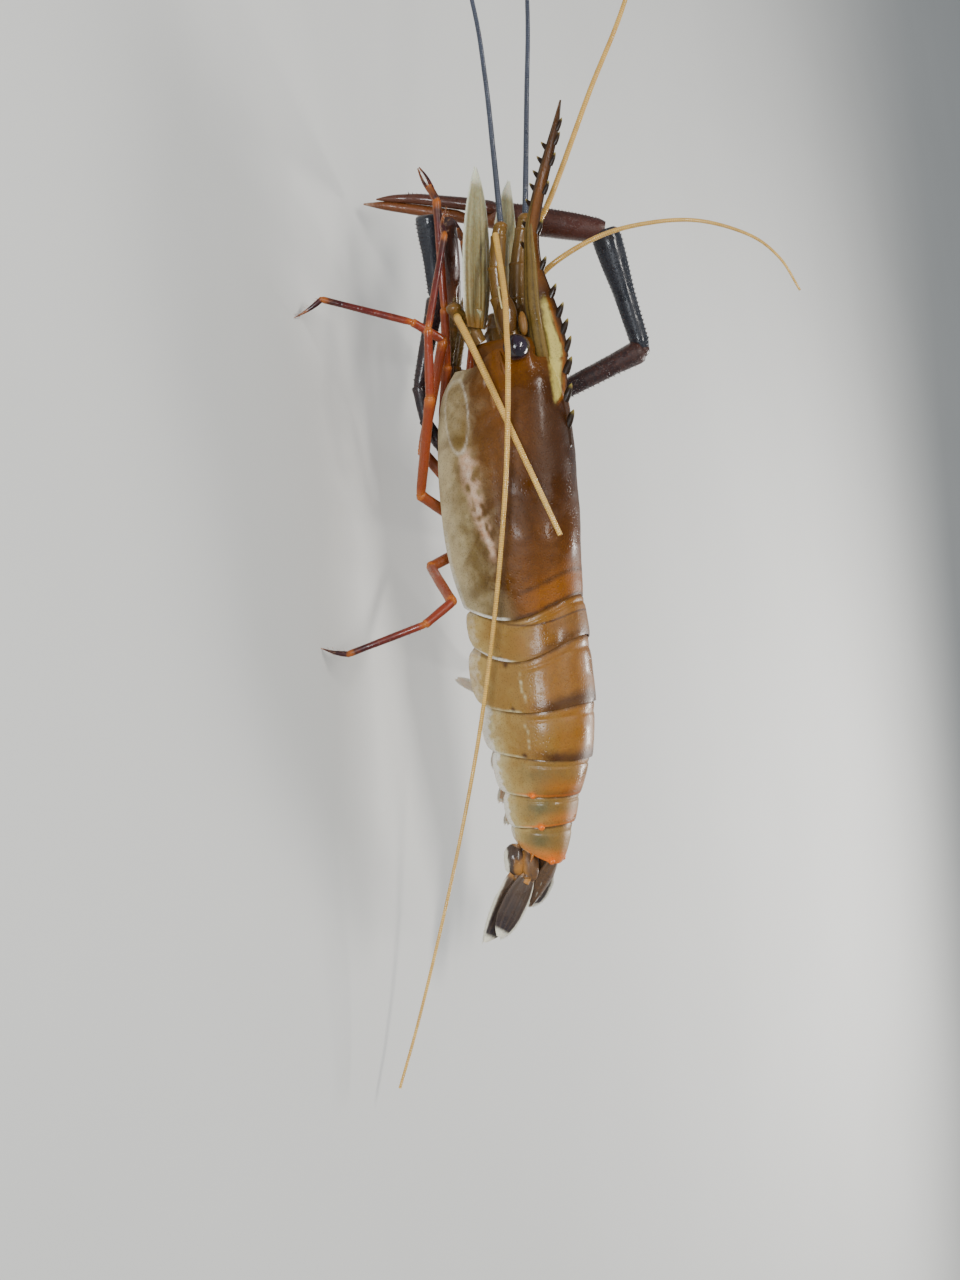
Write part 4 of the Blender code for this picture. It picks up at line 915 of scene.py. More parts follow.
# Half widths of its section from the lower to the upper edge
KEEL = ((0.0, 0.1, 0.3, 0.42, 0.5, 0.78, 0.95, 1.0), (0.22, 0.50, 0.78, 1.06, 0.92, 0.60, 0.30, 0.16))
RIB_ROUTE = ((11.0, 3.0, 51.6), (7.0, 2.2, 51.2), (2.0, 1.6, 50.8), (-4.0, 1.35, 50.6), (-9.0, 1.2, 50.7),
             (-18.0, 0.9, 51.5), (-27.0, 0.7, 52.6), (-36.0, 0.4, 56.2))
DORSAL_TEETH_X = (5.0, 0.6, -3.7, -8.8, -16.2, -25.6, -34.9, -41.5, -46.3, -49.6)
VENTRAL_TEETH_X = (-22.0, -27.0, -32.0, -35.7, -38.6, -41.8, -45.0)


def make_rostrum():
    """The blade with its two side ribs and its two rows of teeth."""
    places = np.linspace(ROSTRUM_FOOT, ROSTRUM_TIP, 170)
    up = np.linspace(0, 1, 17)
    width = np.interp(up, *KEEL)
    rings, heights = [], []
    for x, (low, top, half) in zip(places, smooth_stations(ROSTRUM, places)):
        z = low + (top - low) * up
        y = width * half
        ring = [np.full(2 * len(up), x), np.append(y, -y[::-1]), np.append(z, z[::-1])]
        rings.append(np.stack(ring, -1))
        heights.append(np.append(up, up[::-1]))
    rings, high = np.array(rings), np.array(heights)
    x = rings[..., 0]
    tip = rise(-x, 30.0, 50.0)
    pale, orange = crest_band(x, np.abs(rings[..., 1]) + 0.5, rings[..., 2])
    shape = Shape()
    shape.loft(rings, back=0.45 + 0.4 * high, **clipped({
        "pale": pale,
        "warm": orange + 0.5 * rise(-x, 8.0, 14.0) * (1 - 0.6 * tip) * hump(high, 0.6, 0.3),
        "dark": 0.75 * rise(high, 0.965, 1.0) + 0.8 * hump(high, 0.10, 0.10) + 0.7 * tip * high,
    }))
    for side in SIDES.values():
        ridge = smooth_route(mirrored(RIB_ROUTE, side), 0.8)
        thick = np.interp(ridge[:, 0], (-36.0, -27.0, -18.0, -9.0, 11.0), (0.4, 1.1, 1.7, 2.1, 2.2))
        rings = tube_rings(ridge, thick, 30, (0, 0, 1), 0.62)
        place = upper_half(rings)
        lines = 0.9 * hump(place, 0.0, 0.10) + 0.7 * hump(place, 0.36, 0.05) + 0.7 * hump(place, 0.72, 0.05)
        shape.loft(rings, back=0.5, grey=1.0, dark=lines)
    for tooth_x in DORSAL_TEETH_X:
        rim, size = edge_at(ROSTRUM, tooth_x, 1), 1.0 - 0.007 * abs(tooth_x)
        add_horn(shape, (tooth_x + 1.0, 0, rim - 0.9), (tooth_x - 2.5 * size, 0, rim + 1.6 * size),
                 1.2 * size, (-0.2, 0, 0.25), **HORN_PAINT)
    for tooth_x in VENTRAL_TEETH_X:
        rim = edge_at(ROSTRUM, tooth_x, 0)
        add_horn(shape, (tooth_x + 0.8, 0, rim + 0.8), (tooth_x - 1.7, 0, rim - 1.0), 0.8,
                 (-0.1, 0, -0.15), **HORN_PAINT)
    return shape


make_piece("rostrum_blade", make_rostrum(), SHELL, ["rostrum"])

# %% [markdown]
# Legs, claws and feeler stems share a build: straight segments that swell a little before each
# joint, with a soft ball of skin between them. The segments are separate closed shells, as they
# are on the animal, so the joints show as real creases. Colours run along the limb by the painted
# share of its length.

# %% Limbs from segments
SEGMENT_T = np.array((0.0, 0.012, 0.04, 0.10, 0.25, 0.45, 0.65, 0.80, 0.90, 0.955, 0.985, 1.0))
SEGMENT_FULL = np.array((0.40, 0.68, 0.86, 0.93, 0.97, 1.0, 1.0, 1.0, 1.06, 1.10, 1.02, 0.72))


def add_segment(shape, start, end, near, far, sides=18, shares=(0.0, 1.0), root=False, tip=0.0,
                orange=1.0, **values):
    """One segment. Shares say where it lies along its limb; tip bends and sharpens it."""
    start, end = np.asarray(start, float), np.asarray(end, float)
    t = np.linspace(0, 1, 20) if tip else SEGMENT_T
    full = (1 - t ** 2.2) ** 0.8 + 0.10 if tip else SEGMENT_FULL.copy()
    if root or tip:
        full[:4] = 1.0
    path = start + (end - start) * t[:, None]
    if tip:
        side = np.cross(end - start, (0, 1, 0))
        path = path + unit(side) * (tip * np.sin(math.pi * t))[:, None]
    radii = (near + (far - near) * t) * full
    rings = tube_rings(path, radii, sides)
    warm = orange * (0.9 * rise(t, 0.88, 0.97) + 0.8 * rise(0.09 - t, 0.0, 0.06))[:, None]
    values["warm"] = np.maximum(warm, values.get("warm", 0.0))
    shape.loft(rings, back=upper_half(rings), far=(shares[0] + (shares[1] - shares[0]) * t)[:, None],
               along=(t * np.linalg.norm(end - start))[:, None], **values)


def add_limb(shape, joints, radii, sides=18, tip=0.0, orange=1.0, **values):
    """Segments and balls along the joints. Orange says how strongly the joints are tinted."""
    joints = np.asarray(joints, float)
    steps = np.linalg.norm(np.diff(joints, axis=0), axis=1)
    shares = np.append(0.0, np.cumsum(steps)) / steps.sum()
    last = len(steps) - 1
    for i in range(len(steps)):
        way = (joints[i + 1] - joints[i]) / steps[i]
        start = joints[i] - way * (radii[i] * 0.3 if i else 0.0)
        end = joints[i + 1] + way * (radii[i + 1] * 0.25 if i < last else 0.0)
        add_segment(shape, start, end, radii[i], radii[i + 1], sides, shares[i:i + 2], i == 0,
                    tip if i == last else 0.0, orange, **values)
        if i < last:
            add_ball(shape, joints[i + 1], radii[i + 1] * 0.84, warm=orange, far=shares[i + 1], back=0.6)


print("a segment has", len(SEGMENT_T), "rings")

# %% [markdown]
# The walking legs are orange red, brighter at their joints, and turn maroon and then purple towards
# the foot. The claws are nearly black along the wrist and brown on the hand. Both finishes use the
# same colour tree: a ramp along the limb, then the painted marks.

# %% Colours of limbs
def limb_colours(stops, under, dark, pale, warm, grey, specks=0.3):
    """A colour tree: stops give the ramp along the limb, under tints its lower side."""
    def colours(tree):
        pigment = use(tree, PIGMENT, Cloud_Size=4.0, Speck_Size=0.4)
        share = drifting(tree, "far", pigment, 0.10)
        skin = stops[0][1]
        for (before, _), (place, tint) in zip(stops, stops[1:]):
            skin = mix_colours(tree, stretch(tree, share, before, place), skin, tint)
        low = stretch(tree, painted(tree, "back"), 0.55, 0.05, 0.0, 0.6)
        skin = mix_colours(tree, low, skin, under)
        skin = lay_marks(tree, skin, (("grey", grey, 1.0, 0.6), ("warm", warm, 0.8, 0.6),
                                      ("dark", dark, 0.95, 0.6), ("pale", pale, 0.9, 0.6)), 0.8)
        return mix_colours(tree, times(tree, pigment["Specks"], specks), skin, dark)
    return colours


LEG = living_finish("leg_shell", limb_colours(
    stops=((0.0, (0.20, 0.055, 0.016)), (0.30, (0.25, 0.045, 0.010)), (0.62, (0.22, 0.030, 0.010)),
           (0.78, (0.10, 0.012, 0.008)), (0.92, (0.028, 0.006, 0.008)), (1.0, (0.20, 0.06, 0.012))),
    under=(0.28, 0.075, 0.018), dark=(0.035, 0.007, 0.008), pale=(0.60, 0.40, 0.22),
    warm=(0.46, 0.125, 0.012), grey=(0.16, 0.12, 0.11)),
    relief=(0.6, 0.3, 2.0, 0.5), damp=(0.14, 0.40, 6.0), glow=0.2, shine=0.35)
CLAW = living_finish("claw_shell", limb_colours(
    stops=((0.0, (0.13, 0.045, 0.022)), (0.30, (0.045, 0.013, 0.012)), (1.0, (0.085, 0.027, 0.015))),
    under=(0.080, 0.026, 0.016), dark=(0.008, 0.005, 0.006), pale=(0.55, 0.42, 0.32),
    warm=(0.17, 0.052, 0.012), grey=(0.021, 0.023, 0.030), specks=0.45),
    relief=(0.5, 0.6, 2.2, 0.6), damp=(0.16, 0.44, 5.0), bump=0.00016, glow=0.04, shine=0.35)
print("limb finishes:", LEG.name, CLAW.name)

# %% [markdown]
# Three pairs of walking legs come first, for the nipper legs and the claws have their own steps. A
# walking leg ends in a single pointed foot. Its point stops at the floor, so that the foot stands on
# it. One left leg is lifted beside the head, as the photo shows.

# %% Walking legs
ROOT_Z = BELLY - GAP
LEG_RADII = (1.8, 1.5, 1.35, 1.25, 1.0, 0.75, 0.5)
WALKING_LEGS = {
    "leg3_left": ((34, -5.2, ROOT_Z), (33, -6.2, 22.2), (25, -9.6, 18.2), (-0.6, -14.2, 30.6),
                  (-5.6, -19.4, 25.4), (-14.0, -30.6, 6.8), (-10.4, -33.6, 0.0)),
    "leg3_right": ((34, 5.2, ROOT_Z), (34, 6.8, 22.2), (32, 14.0, 18.2), (13.0, 31.0, 29.0),
                   (5.0, 35.0, 25.6), (-2.0, 39.5, 7.2), (0.4, 41.5, 0.0)),
    "leg4_right": ((43, 5.4, ROOT_Z), (43.4, 6.8, 22.0), (44, 14.0, 18.0), (45.0, 35.0, 30.0),
                   (46.0, 43.0, 25.6), (46.6, 49.0, 6.8), (44.4, 50.0, 0.0)),
    "leg5_left": ((52, -5.4, ROOT_Z), (52.4, -6.8, 22.0), (55, -13.6, 18.0), (65.0, -29.0, 30.0),
                  (69.5, -35.4, 25.2), (74.0, -41.6, 6.6), (71.6, -43.2, 0.0)),
    "leg5_right": ((52, 5.4, ROOT_Z), (52.6, 6.8, 22.0), (56, 13.6, 18.0), (70.0, 30.0, 30.4),
                   (76.5, 36.0, 26.0), (84.0, 42.5, 6.8), (81.6, 44.5, 0.0)),
    "leg4_left": ((43, -5.4, ROOT_Z), (42.2, -6.8, 22.0), (36.6, -14.0, 18.2), (14.4, -24.0, 29.4),
                  (-1.6, -27.0, 32.9), (-24.6, -21.6, 38.4), (-31.4, -19.6, 39.2)),
}


def add_bristles(shape, feet, outs, length, radius=0.055, **values):
    """Fine stiff hairs: three-sided cones from their feet."""
    feet, outs = np.asarray(feet, float), np.asarray(outs, float)
    outs = outs / np.linalg.norm(outs, axis=1, keepdims=True)
    across = np.cross(outs, (0.31, 0.52, 0.79))
    across /= np.linalg.norm(across, axis=1, keepdims=True)
    other = np.cross(outs, across)
    corners = [feet - outs * 0.15 + radius * (math.cos(a) * across + math.sin(a) * other)
               for a in (0.0, 2.09, 4.19)]
    tips = feet + outs * np.broadcast_to(np.asarray(length, float), len(feet))[:, None]
    points = np.stack([*corners, tips], axis=1).reshape(-1, 3)
    faces = []
    for i in range(0, len(points), 4):
        faces += [(i, i + 2, i + 1), (i, i + 1, i + 3), (i + 1, i + 2, i + 3), (i + 2, i, i + 3)]
    shape.add(points, faces, **values)


def add_hairs(shape, start, end, thick, thin, count, seed, length, shorter=0.0, **values):
    """Seeded hairs on a straight segment, which get that much shorter along it."""
    chance = np.random.default_rng(seed)
    share, turn = chance.uniform(0.08, 0.95, count), chance.uniform(0, math.tau, count)
    start, end = np.asarray(start, float), np.asarray(end, float)
    way = unit(end - start)
    first = unit(np.cross(way, (0.2, 0.9, 0.4)))
    second = np.cross(way, first)
    out = np.cos(turn)[:, None] * first + np.sin(turn)[:, None] * second
    feet = start + (end - start) * share[:, None] + out * (thick + (thin - thick) * share)[:, None] * 0.96
    add_bristles(shape, feet, out + way * 0.9, length - shorter * share, **values)


for leg_number, (leg_name, joints) in enumerate(WALKING_LEGS.items()):
    lifted = leg_name == "leg4_left"
    leg = Shape()
    add_limb(leg, joints, LEG_RADII[:-1] + (0.3,), tip=0.9 if lifted else 0.35)
    for k, amount in ((-3, 26), (-2, 22)):
        add_hairs(leg, joints[k], joints[k + 1], LEG_RADII[k], LEG_RADII[k + 1], amount, leg_number,
                  0.9, 0.3, far=0.85, pale=0.5)
    for points in leg.points:
        points[:, 2] = np.maximum(points[:, 2], 0.0)
    make_piece("walking_" + leg_name, leg, LEG, [leg_name])

# %% [markdown]
# The first legs are slim and clean the mouth with small nippers: a palm and two thin fingers that
# close on each other. The jaw legs under the head are short, hairy and the colour of the feelers.

# %% Nipper legs
NIPPER_RADII = (1.5, 1.35, 1.2, 1.1, 1.0, 0.95)
NIPPER_LEGS = {
    "leg1_left": ((18, -4.8, ROOT_Z), (17.4, -5.4, 23.4), (4.9, -7.8, 27.6), (-8.8, -10.6, 30.5),
                  (-36.2, -11.0, 32.7), (-45.2, -11.0, 29.0)),
    "leg1_right": ((18, 4.8, ROOT_Z), (17.4, 5.4, 23.4), (5.6, 7.8, 26.6), (-8.0, 9.8, 29.4),
                   (-29.5, 9.0, 29.8), (-37.0, 8.5, 26.4)),
}
for leg_number, (leg_name, joints) in enumerate(NIPPER_LEGS.items()):
    wrist, point = np.array(joints[-2], float), np.array(joints[-1], float)
    way = unit(point - wrist)
    palm_end = wrist + (point - wrist) * 0.42
    across = square_to(way, (0.0, 0.0, 1.0))
    leg = Shape()
    add_limb(leg, (*joints[:-1], tuple(palm_end)), NIPPER_RADII)
    for turn in (-1, 1):
        foot = palm_end + across * (0.5 * turn) - way * 1.0
        t = np.linspace(0, 1, 12)[:, None]
        path = foot + (point + across * 0.2 * turn - foot) * t + across * turn * 0.35 * np.sin(math.pi * t)
        rings = tube_rings(path, 0.58 - 0.42 * t[:, 0], 12)
        leg.loft(rings, back=upper_half(rings), far=0.85 + 0.15 * t, dark=0.3 * t)
        add_hairs(leg, foot, point, 0.5, 0.2, 26, leg_number * 2 + turn + 11, 0.8, far=0.9, pale=0.6)
    make_piece("nipper_" + leg_name, leg, LEG, [leg_name])

# %% [markdown]
# The clawed legs are the prawn's show pieces: long, dark and set all over with spinules that lean
# forward. Thousands of spines would be slow as separate objects, so they are added to the segment's
# own mesh in one go, in staggered rows.

# %% Spinules
def add_spinules(shape, feet, outs, way, size, **values):
    """Five-sided thorns at the feet, pointing out and forward along the segment."""
    feet, outs, way = np.asarray(feet, float), np.asarray(outs, float), unit(way)
    size = np.broadcast_to(np.asarray(size, float), len(feet))[:, None]
    side = np.cross(outs, way)
    side /= np.linalg.norm(side, axis=1, keepdims=True)
    corners = [
        feet - outs * 0.25 + size * (0.62 * math.cos(a) * way + 0.5 * math.sin(a) * side)
        for a in (math.tau * k / 5 for k in range(5))
    ]
    points = np.stack([*corners, feet + outs * size * 1.15 + way * size * 1.0], axis=1).reshape(-1, 3)
    faces = []
    for i in range(0, len(points), 6):
        faces += [(i + k, i + (k + 1) % 5, i + 5) for k in range(5)] + [(i + 4, i + 3, i + 2, i + 1, i)]
    shape.add(points, faces, **values)


def spinule_rows(shape, start, end, radius_at, rows, around, size, hint, flat=1.0, **values):
    """Staggered rows of spinules on a segment whose radius at a share is radius_at(share)."""
    way = unit(end - start)
    first = square_to(way, hint)
    second = np.cross(way, first)
    row, spoke = (grid.ravel() for grid in np.meshgrid(np.arange(rows), np.arange(around), indexing="ij"))
    share = 0.06 + 0.88 * (row + 0.5 * (spoke % 2) + 0.25 * np.sin(spoke * 2.4)) / rows
    turn = math.tau * (spoke + 0.14 * np.sin(row * 1.7)) / around
    out = np.cos(turn)[:, None] * first + np.sin(turn)[:, None] * second
    radius = radius_at(share)
    feet = (start + (end - start) * share[:, None] + (radius * np.cos(turn))[:, None] * first
            + (radius * flat * np.sin(turn))[:, None] * second)
    big = 1 + 0.7 * np.clip(np.cos(turn), 0, 1) ** 6
    add_spinules(shape, feet, out, way, size * big, **values)


print("spinules are ready")

# %% [markdown]
# The numbers of the claws repeat the CAD source: the arm's joints, the hand's joint and its tip. The
# right claw is full size and reaches across in front of the head. The left one is smaller, folded
# under the head, with its hand laid back along the wrist.

# %% Sizes of the claws
# Grey is the strength of that value on arm, wrist and hand. Folded is how far a folded hand is shifted
CLAWS = {
    "right": {
        "arm": ((25, 4.6, ROOT_Z), (24.6, 6.0, 21.9), (21.0, 14.2, 18.6), (16.5, 22.0, 31.5),
                (3.4, 40.0, 63.8)),
        "hand": (-28.6, 33.0, 60.4), "tip": (-46.9, 6.0, 4.2), "size": 1.0, "opens": (-1.0, -0.35, 0.4),
        "grey": (0.35, 1.0, 0.0), "folded": None,
    },
    "left": {
        "arm": ((25, -4.6, ROOT_Z), (23.6, -5.4, 21.4), (17.0, -5.7, 18.4), (8.5, -5.5, 17.8),
                (-13.6, -3.5, 25.4)),
        "hand": (-34.2, -8.2, 28.2), "tip": (-4.5, 22.5, 17.5), "size": 0.78, "opens": (-0.6, 0.8, 0.0),
        "grey": (0.6, 1.0, 0.0), "folded": (1.0, 2.7, 4.2),
    },
}
ARM_RADII = (2.0, 1.9, 1.9, 2.2, 3.0)
PALM_SHARE, PALM_HALF_WIDTH = 0.46, 3.8
# Share along the wrist, and its radius
WRIST = ((0.0, 2.1), (0.04, 2.5), (0.12, 2.6), (0.45, 2.9), (0.8, 3.8), (0.93, 3.95), (0.98, 3.7), (1.0, 2.9))
# Share along the hand, shift of the centre, half width, half thickness
PALM = ((0.0, 0.0, 2.6, 2.2), (0.015, 0.0, 3.0, 2.6), (0.06, 0.0, 3.35, 2.8), (0.22, 0.0, 3.8, 3.0),
        (0.38, 0.0, PALM_HALF_WIDTH, 2.9), (0.445, -0.1, 3.6, 2.7), (0.49, -1.8, 1.75, 2.3),
        (0.62, -1.7, 1.62, 2.0), (0.80, -1.65, 1.42, 1.5), (0.93, -1.85, 1.0, 0.95), (1.0, -2.2, 0.22, 0.22))
FINGER = ((0.455, 1.75, 1.5, 2.0), (0.47, 1.8, 1.75, 2.3), (0.52, 1.85, 1.75, 2.2), (0.66, 1.65, 1.6, 1.9),
          (0.80, 1.15, 1.3, 1.4), (0.90, 0.2, 0.85, 0.9), (0.95, -0.45, 0.2, 0.2))


def oval_rings(start, way, across, length, table, size, steps=60, sides=28):
    """Rings of a hand or finger, and the place of each point from the lower to the upper edge."""
    t = np.linspace(table[0][0], table[-1][0], steps)
    shift, wide, thick = (smooth_stations(table, t) * size).T
    second = np.cross(way, across)
    turn = np.linspace(0, math.tau, sides, endpoint=False)
    rings = (start + way * (length * t)[:, None] + across * shift[:, None])[:, None] + (
        wide[:, None, None] * np.cos(turn)[None, :, None] * across
        + np.maximum(thick, 0.15)[:, None, None] * np.sin(turn)[None, :, None] * second)
    return rings, t, (rings - start) @ across / (PALM_HALF_WIDTH * size)


print("the palm takes", PALM_SHARE, "of the hand")

# %% [markdown]
# An arm carries the wrist, and the wrist a hand: a palm that ends in a fixed finger, and the finger
# that closes on it. A Boolean cut could part the two from one shape, but a loft of ovals for each
# keeps an even mesh, and both tables share one axis, so that the gape stays narrow.

# %% Claws
def make_claw_arm(word, claw, arm, hand, size):
    radii = [radius * (size if i > 1 else 1.0) for i, radius in enumerate(ARM_RADII)]
    shape = Shape()
    add_limb(shape, arm, radii, sides=24, orange=0.12, grey=claw["grey"][0], dark=0.45)
    outward = unit(arm[-1] - arm[-2]) - unit(hand - arm[-1])
    near, far = radii[3], radii[4]
    spinule_rows(shape, arm[-2], arm[-1], lambda share: near + (far - near) * share, int(22 * size), 14,
                 0.28 * size, outward, grey=0.3, dark=0.5, far=0.8, back=0.8)
    make_piece(f"claw_arm_{word}_fine", shape, CLAW, [f"claw_arm_{word}"])


def make_claw_wrist(word, claw, arm, hand, size):
    elbow = arm[-1]
    way, length = unit(hand - elbow), np.linalg.norm(hand - elbow)
    start, end = elbow + way * 0.2, hand - way * (0.3 if claw["folded"] else -0.6)
    t = np.unique(np.concatenate([np.linspace(0, 1, 48), [0.015, 0.985, 0.995]]))
    radii = smooth_stations(WRIST, t)[:, 0] * size
    rings = tube_rings(start + (end - start) * t[:, None], radii, 28, (0, 0, 1), 0.88)
    shape = Shape()
    shape.loft(rings, back=upper_half(rings), far=0.9, grey=claw["grey"][1],
               warm=0.1 * rise(t, 0.96, 1.0)[:, None], along=(t * length)[:, None])
    outward = -np.array(claw["folded"]) if claw["folded"] else unit(elbow - arm[-2]) - way
    spinule_rows(shape, start, end, lambda share: smooth_stations(WRIST, share)[:, 0] * size * 0.97,
                 int(24 * size), 16, 0.30 * size, outward, 0.92,
                 grey=claw["grey"][1] * 0.7, dark=0.4, far=0.9)
    add_ball(shape, elbow, 2.15 * size, warm=0.1, dark=0.6, far=0.8)
    make_piece(f"claw_wrist_{word}_fine", shape, CLAW, [f"claw_wrist_{word}"])


def make_claw_hand(word, claw, arm, hand, size):
    elbow, tip = arm[-1], np.array(claw["tip"], float)
    turn = unit(hand - elbow) if claw["folded"] else unit(unit(hand - elbow) + unit(tip - hand))
    start = hand - turn * 2.0 * size + claw["folded"] if claw["folded"] else hand + turn * 0.15
    way, length = unit(tip - start), np.linalg.norm(tip - start)
    across = square_to(way, claw["opens"])
    for label, table, teeth_side, warmth in (("palm", PALM, 1, 1.0), ("finger", FINGER, -1, 0.35)):
        rings, t, place = oval_rings(start, way, across, length, table, size)
        share = t[:, None]
        shape = Shape()
        shape.loft(rings, back=0.5 + 0.5 * place, far=0.6 + 0.4 * share, grey=claw["grey"][2],
                   warm=warmth * rise(share, 0.34, 0.52) * rise(0.5 - place, 0.0, 0.6),
                   dark=0.4 * rise(place, 0.55, 0.95), pale=0.35 * rise(share, 0.93, 1.0),
                   along=share * length)
        shares = np.linspace(0.50, 0.90, 26)
        shift, wide, _ = (smooth_stations(table, shares) * size).T
        feet = start + way * (length * shares)[:, None] + across * (shift + teeth_side * wide * 0.9)[:, None]
        outs = np.tile(across * teeth_side, (len(shares), 1))
        add_spinules(shape, feet, outs, way, 0.22 * size, pale=0.3, back=0.5, far=0.9)
        if label == "palm":
            spinule_rows(
                shape, start, start + way * length * 0.42,
                lambda share: smooth_stations(PALM, share * 0.42)[:, 1] * size * 0.98,
                int(26 * size), 18, 0.24 * size, across, 0.80, dark=0.35, back=0.6, far=0.8)
        else:
            spinule_rows(
                shape, start + way * length * PALM_SHARE + across * 1.75 * size,
                start + way * length * 0.86 + across * 1.25 * size,
                lambda share: smooth_stations(FINGER, PALM_SHARE + share * 0.4)[:, 1] * size * 0.95,
                int(20 * size), 8, 0.2 * size, across, 1.25, dark=0.35, back=0.9, far=0.9)
        make_piece(f"claw_{label}_{word}_fine", shape, CLAW, [f"claw_{label}_{word}"])


for word, claw in CLAWS.items():
    arm, hand = np.array(claw["arm"], float), np.array(claw["hand"], float)
    for make_part in (make_claw_arm, make_claw_wrist, make_claw_hand):
        make_part(word, claw, arm, hand, claw["size"])

# %% [markdown]
# Feeler stems, scales and jaw legs are tan to olive, with fine lengthwise stripes. The fan behind is
# nearly black with cream edges, and the swimmerets are pale. One colour tree does for all of them: a
# ramp along the blade, stripes from the painted place across it, and pale edges.

# %% Colours of blades and stems
def blade_colours(root, tip, stripe, pale, dark, warm, stripes, stripe_share=0.5):
    """A colour tree: a ramp from root to tip, and stripes, of which so many cross the blade."""
    def colours(tree):
        pigment = use(tree, PIGMENT, Cloud_Size=3.5, Speck_Size=0.4)
        skin = mix_colours(tree, drifting(tree, "far", pigment, 0.25, clamp=True), root, tip)
        wave = calculate(tree, "COSINE", times(tree, painted(tree, "rib"), stripes * math.pi))
        lines = times(tree, stretch(tree, wave, 0.1, 0.95), stripe_share)
        skin = mix_colours(tree, lines, skin, stripe)
        skin = lay_marks(tree, skin, (("warm", warm, 0.95, 0.5), ("dark", dark, 0.95, 0.5),
                                      ("pale", pale, 0.95, 0.5)), 0.7)
        return mix_colours(tree, times(tree, pigment["Specks"], 0.2), skin, dark)
    return colours


STEM = living_finish("feeler_stem", blade_colours(
    root=(0.088, 0.038, 0.007), tip=(0.125, 0.058, 0.011), stripe=(0.19, 0.105, 0.022),
    pale=(0.56, 0.46, 0.22), dark=(0.022, 0.009, 0.004), warm=(0.24, 0.095, 0.012), stripes=4.0),
    relief=(0.6, 0.3, 2.5, 0.6), damp=(0.14, 0.40, 6.0), glow=0.2, shine=0.3)
SCALE_SKIN = living_finish("feeler_scale", blade_colours(
    root=(0.150, 0.105, 0.030), tip=(0.34, 0.37, 0.23), stripe=(0.42, 0.40, 0.22),
    pale=(0.70, 0.70, 0.54), dark=(0.045, 0.026, 0.010), warm=(0.20, 0.10, 0.018), stripes=6.0,
    stripe_share=0.6), relief=(0.5, 0.2, 2.5, 0.5), damp=(0.12, 0.36, 6.0), glow=0.25)
FAN_SKIN = living_finish("tail_fan", blade_colours(
    root=(0.080, 0.050, 0.030), tip=(0.026, 0.020, 0.024), stripe=(0.100, 0.068, 0.050),
    pale=(0.76, 0.72, 0.58), dark=(0.008, 0.006, 0.007), warm=(0.46, 0.20, 0.04), stripes=4.0,
    stripe_share=0.4), relief=(0.45, 0.3, 2.0, 0.6), damp=(0.18, 0.42, 5.0), glow=0.08, shine=0.3)
PADDLE_SKIN = living_finish("swimmeret_skin", blade_colours(
    root=(0.42, 0.27, 0.15), tip=(0.50, 0.38, 0.26), stripe=(0.34, 0.17, 0.10),
    pale=(0.72, 0.64, 0.50), dark=(0.10, 0.05, 0.04), warm=(0.50, 0.20, 0.07), stripes=3.0),
    relief=(0.5, 0.3, 2.0, 0.5), damp=(0.12, 0.36, 5.0), glow=0.3)
print("blade finishes:", STEM.name, SCALE_SKIN.name, FAN_SKIN.name, PADDLE_SKIN.name)

# %% [markdown]
# The head's front is a soft block between the plates, from which eyes and feelers grow. Each eye is
# a dark glossy ball of tiny facets on a short stalk. The facets are bump only, for each is far finer
# than the mesh, but the ball, its stalk and the collar between them are shapes.

# %% Head front and eyes
HEAD_FACE = 1.0
EYE_RADIUS = 3.2
EYE, EYE_ROOT = (4.7, 12.5, 49.1), (3.6, 5.0, 47.4)
# How far before the middle of the eye its stalk ends
SOCKET = 1.7
# Place, half width, middle and half height
HEAD_ROWS = (
    (10.0, 7.8, 41.9, 7.6), (8.0, 8.7, 41.9, 8.4), (6.0, 9.0, 41.8, 8.7), (4.0, 9.1, 41.8, 8.8),
    (2.6, 8.9, 41.6, 8.6), (1.6, 8.6, 41.4, 8.4), (HEAD_FACE + 0.1, 8.1, 41.2, 8.0),
    (HEAD_FACE, 7.4, 41.2, 7.4),
)
# How thick the stalk is along its length
STALK = ((0, 0.3, 0.5, 0.8, 0.92, 0.98, 1.0), (2.2, 1.95, 1.9, 2.6, 3.15, EYE_RADIUS, 2.9))


def head_ring(x, half_width, middle, half_height, sides=48):
    """A section with rounded corners."""
    turn = np.linspace(0, math.tau, sides, endpoint=False)
    c, s = np.cos(turn), np.sin(turn)
    return np.stack([np.full(sides, x), half_width * np.sign(c) * np.abs(c) ** 0.8,
                     middle + half_height * np.sign(s) * np.abs(s) ** 0.8], -1)


head = Shape()
head_rings = np.array([head_ring(*row) for row in HEAD_ROWS])
head_rings = head_rings + (0.25 * soft_noise(head_rings, 4.0, 5.0))[..., None] * (0, 1, 1)
head.loft(head_rings, back=0.62, warm=0.35)
make_piece("head_block", head, SHELL, ["head_front"])


def eye_colours(tree):
    pigment = use(tree, PIGMENT, Cloud_Size=2.2, Speck_Size=0.25)
    base = mix_colours(tree, pigment["Clouds"], (0.006, 0.004, 0.007), (0.022, 0.012, 0.024))
    return mix_colours(tree, times(tree, painted(tree, "pale"), 0.8), base, (0.10, 0.06, 0.05))


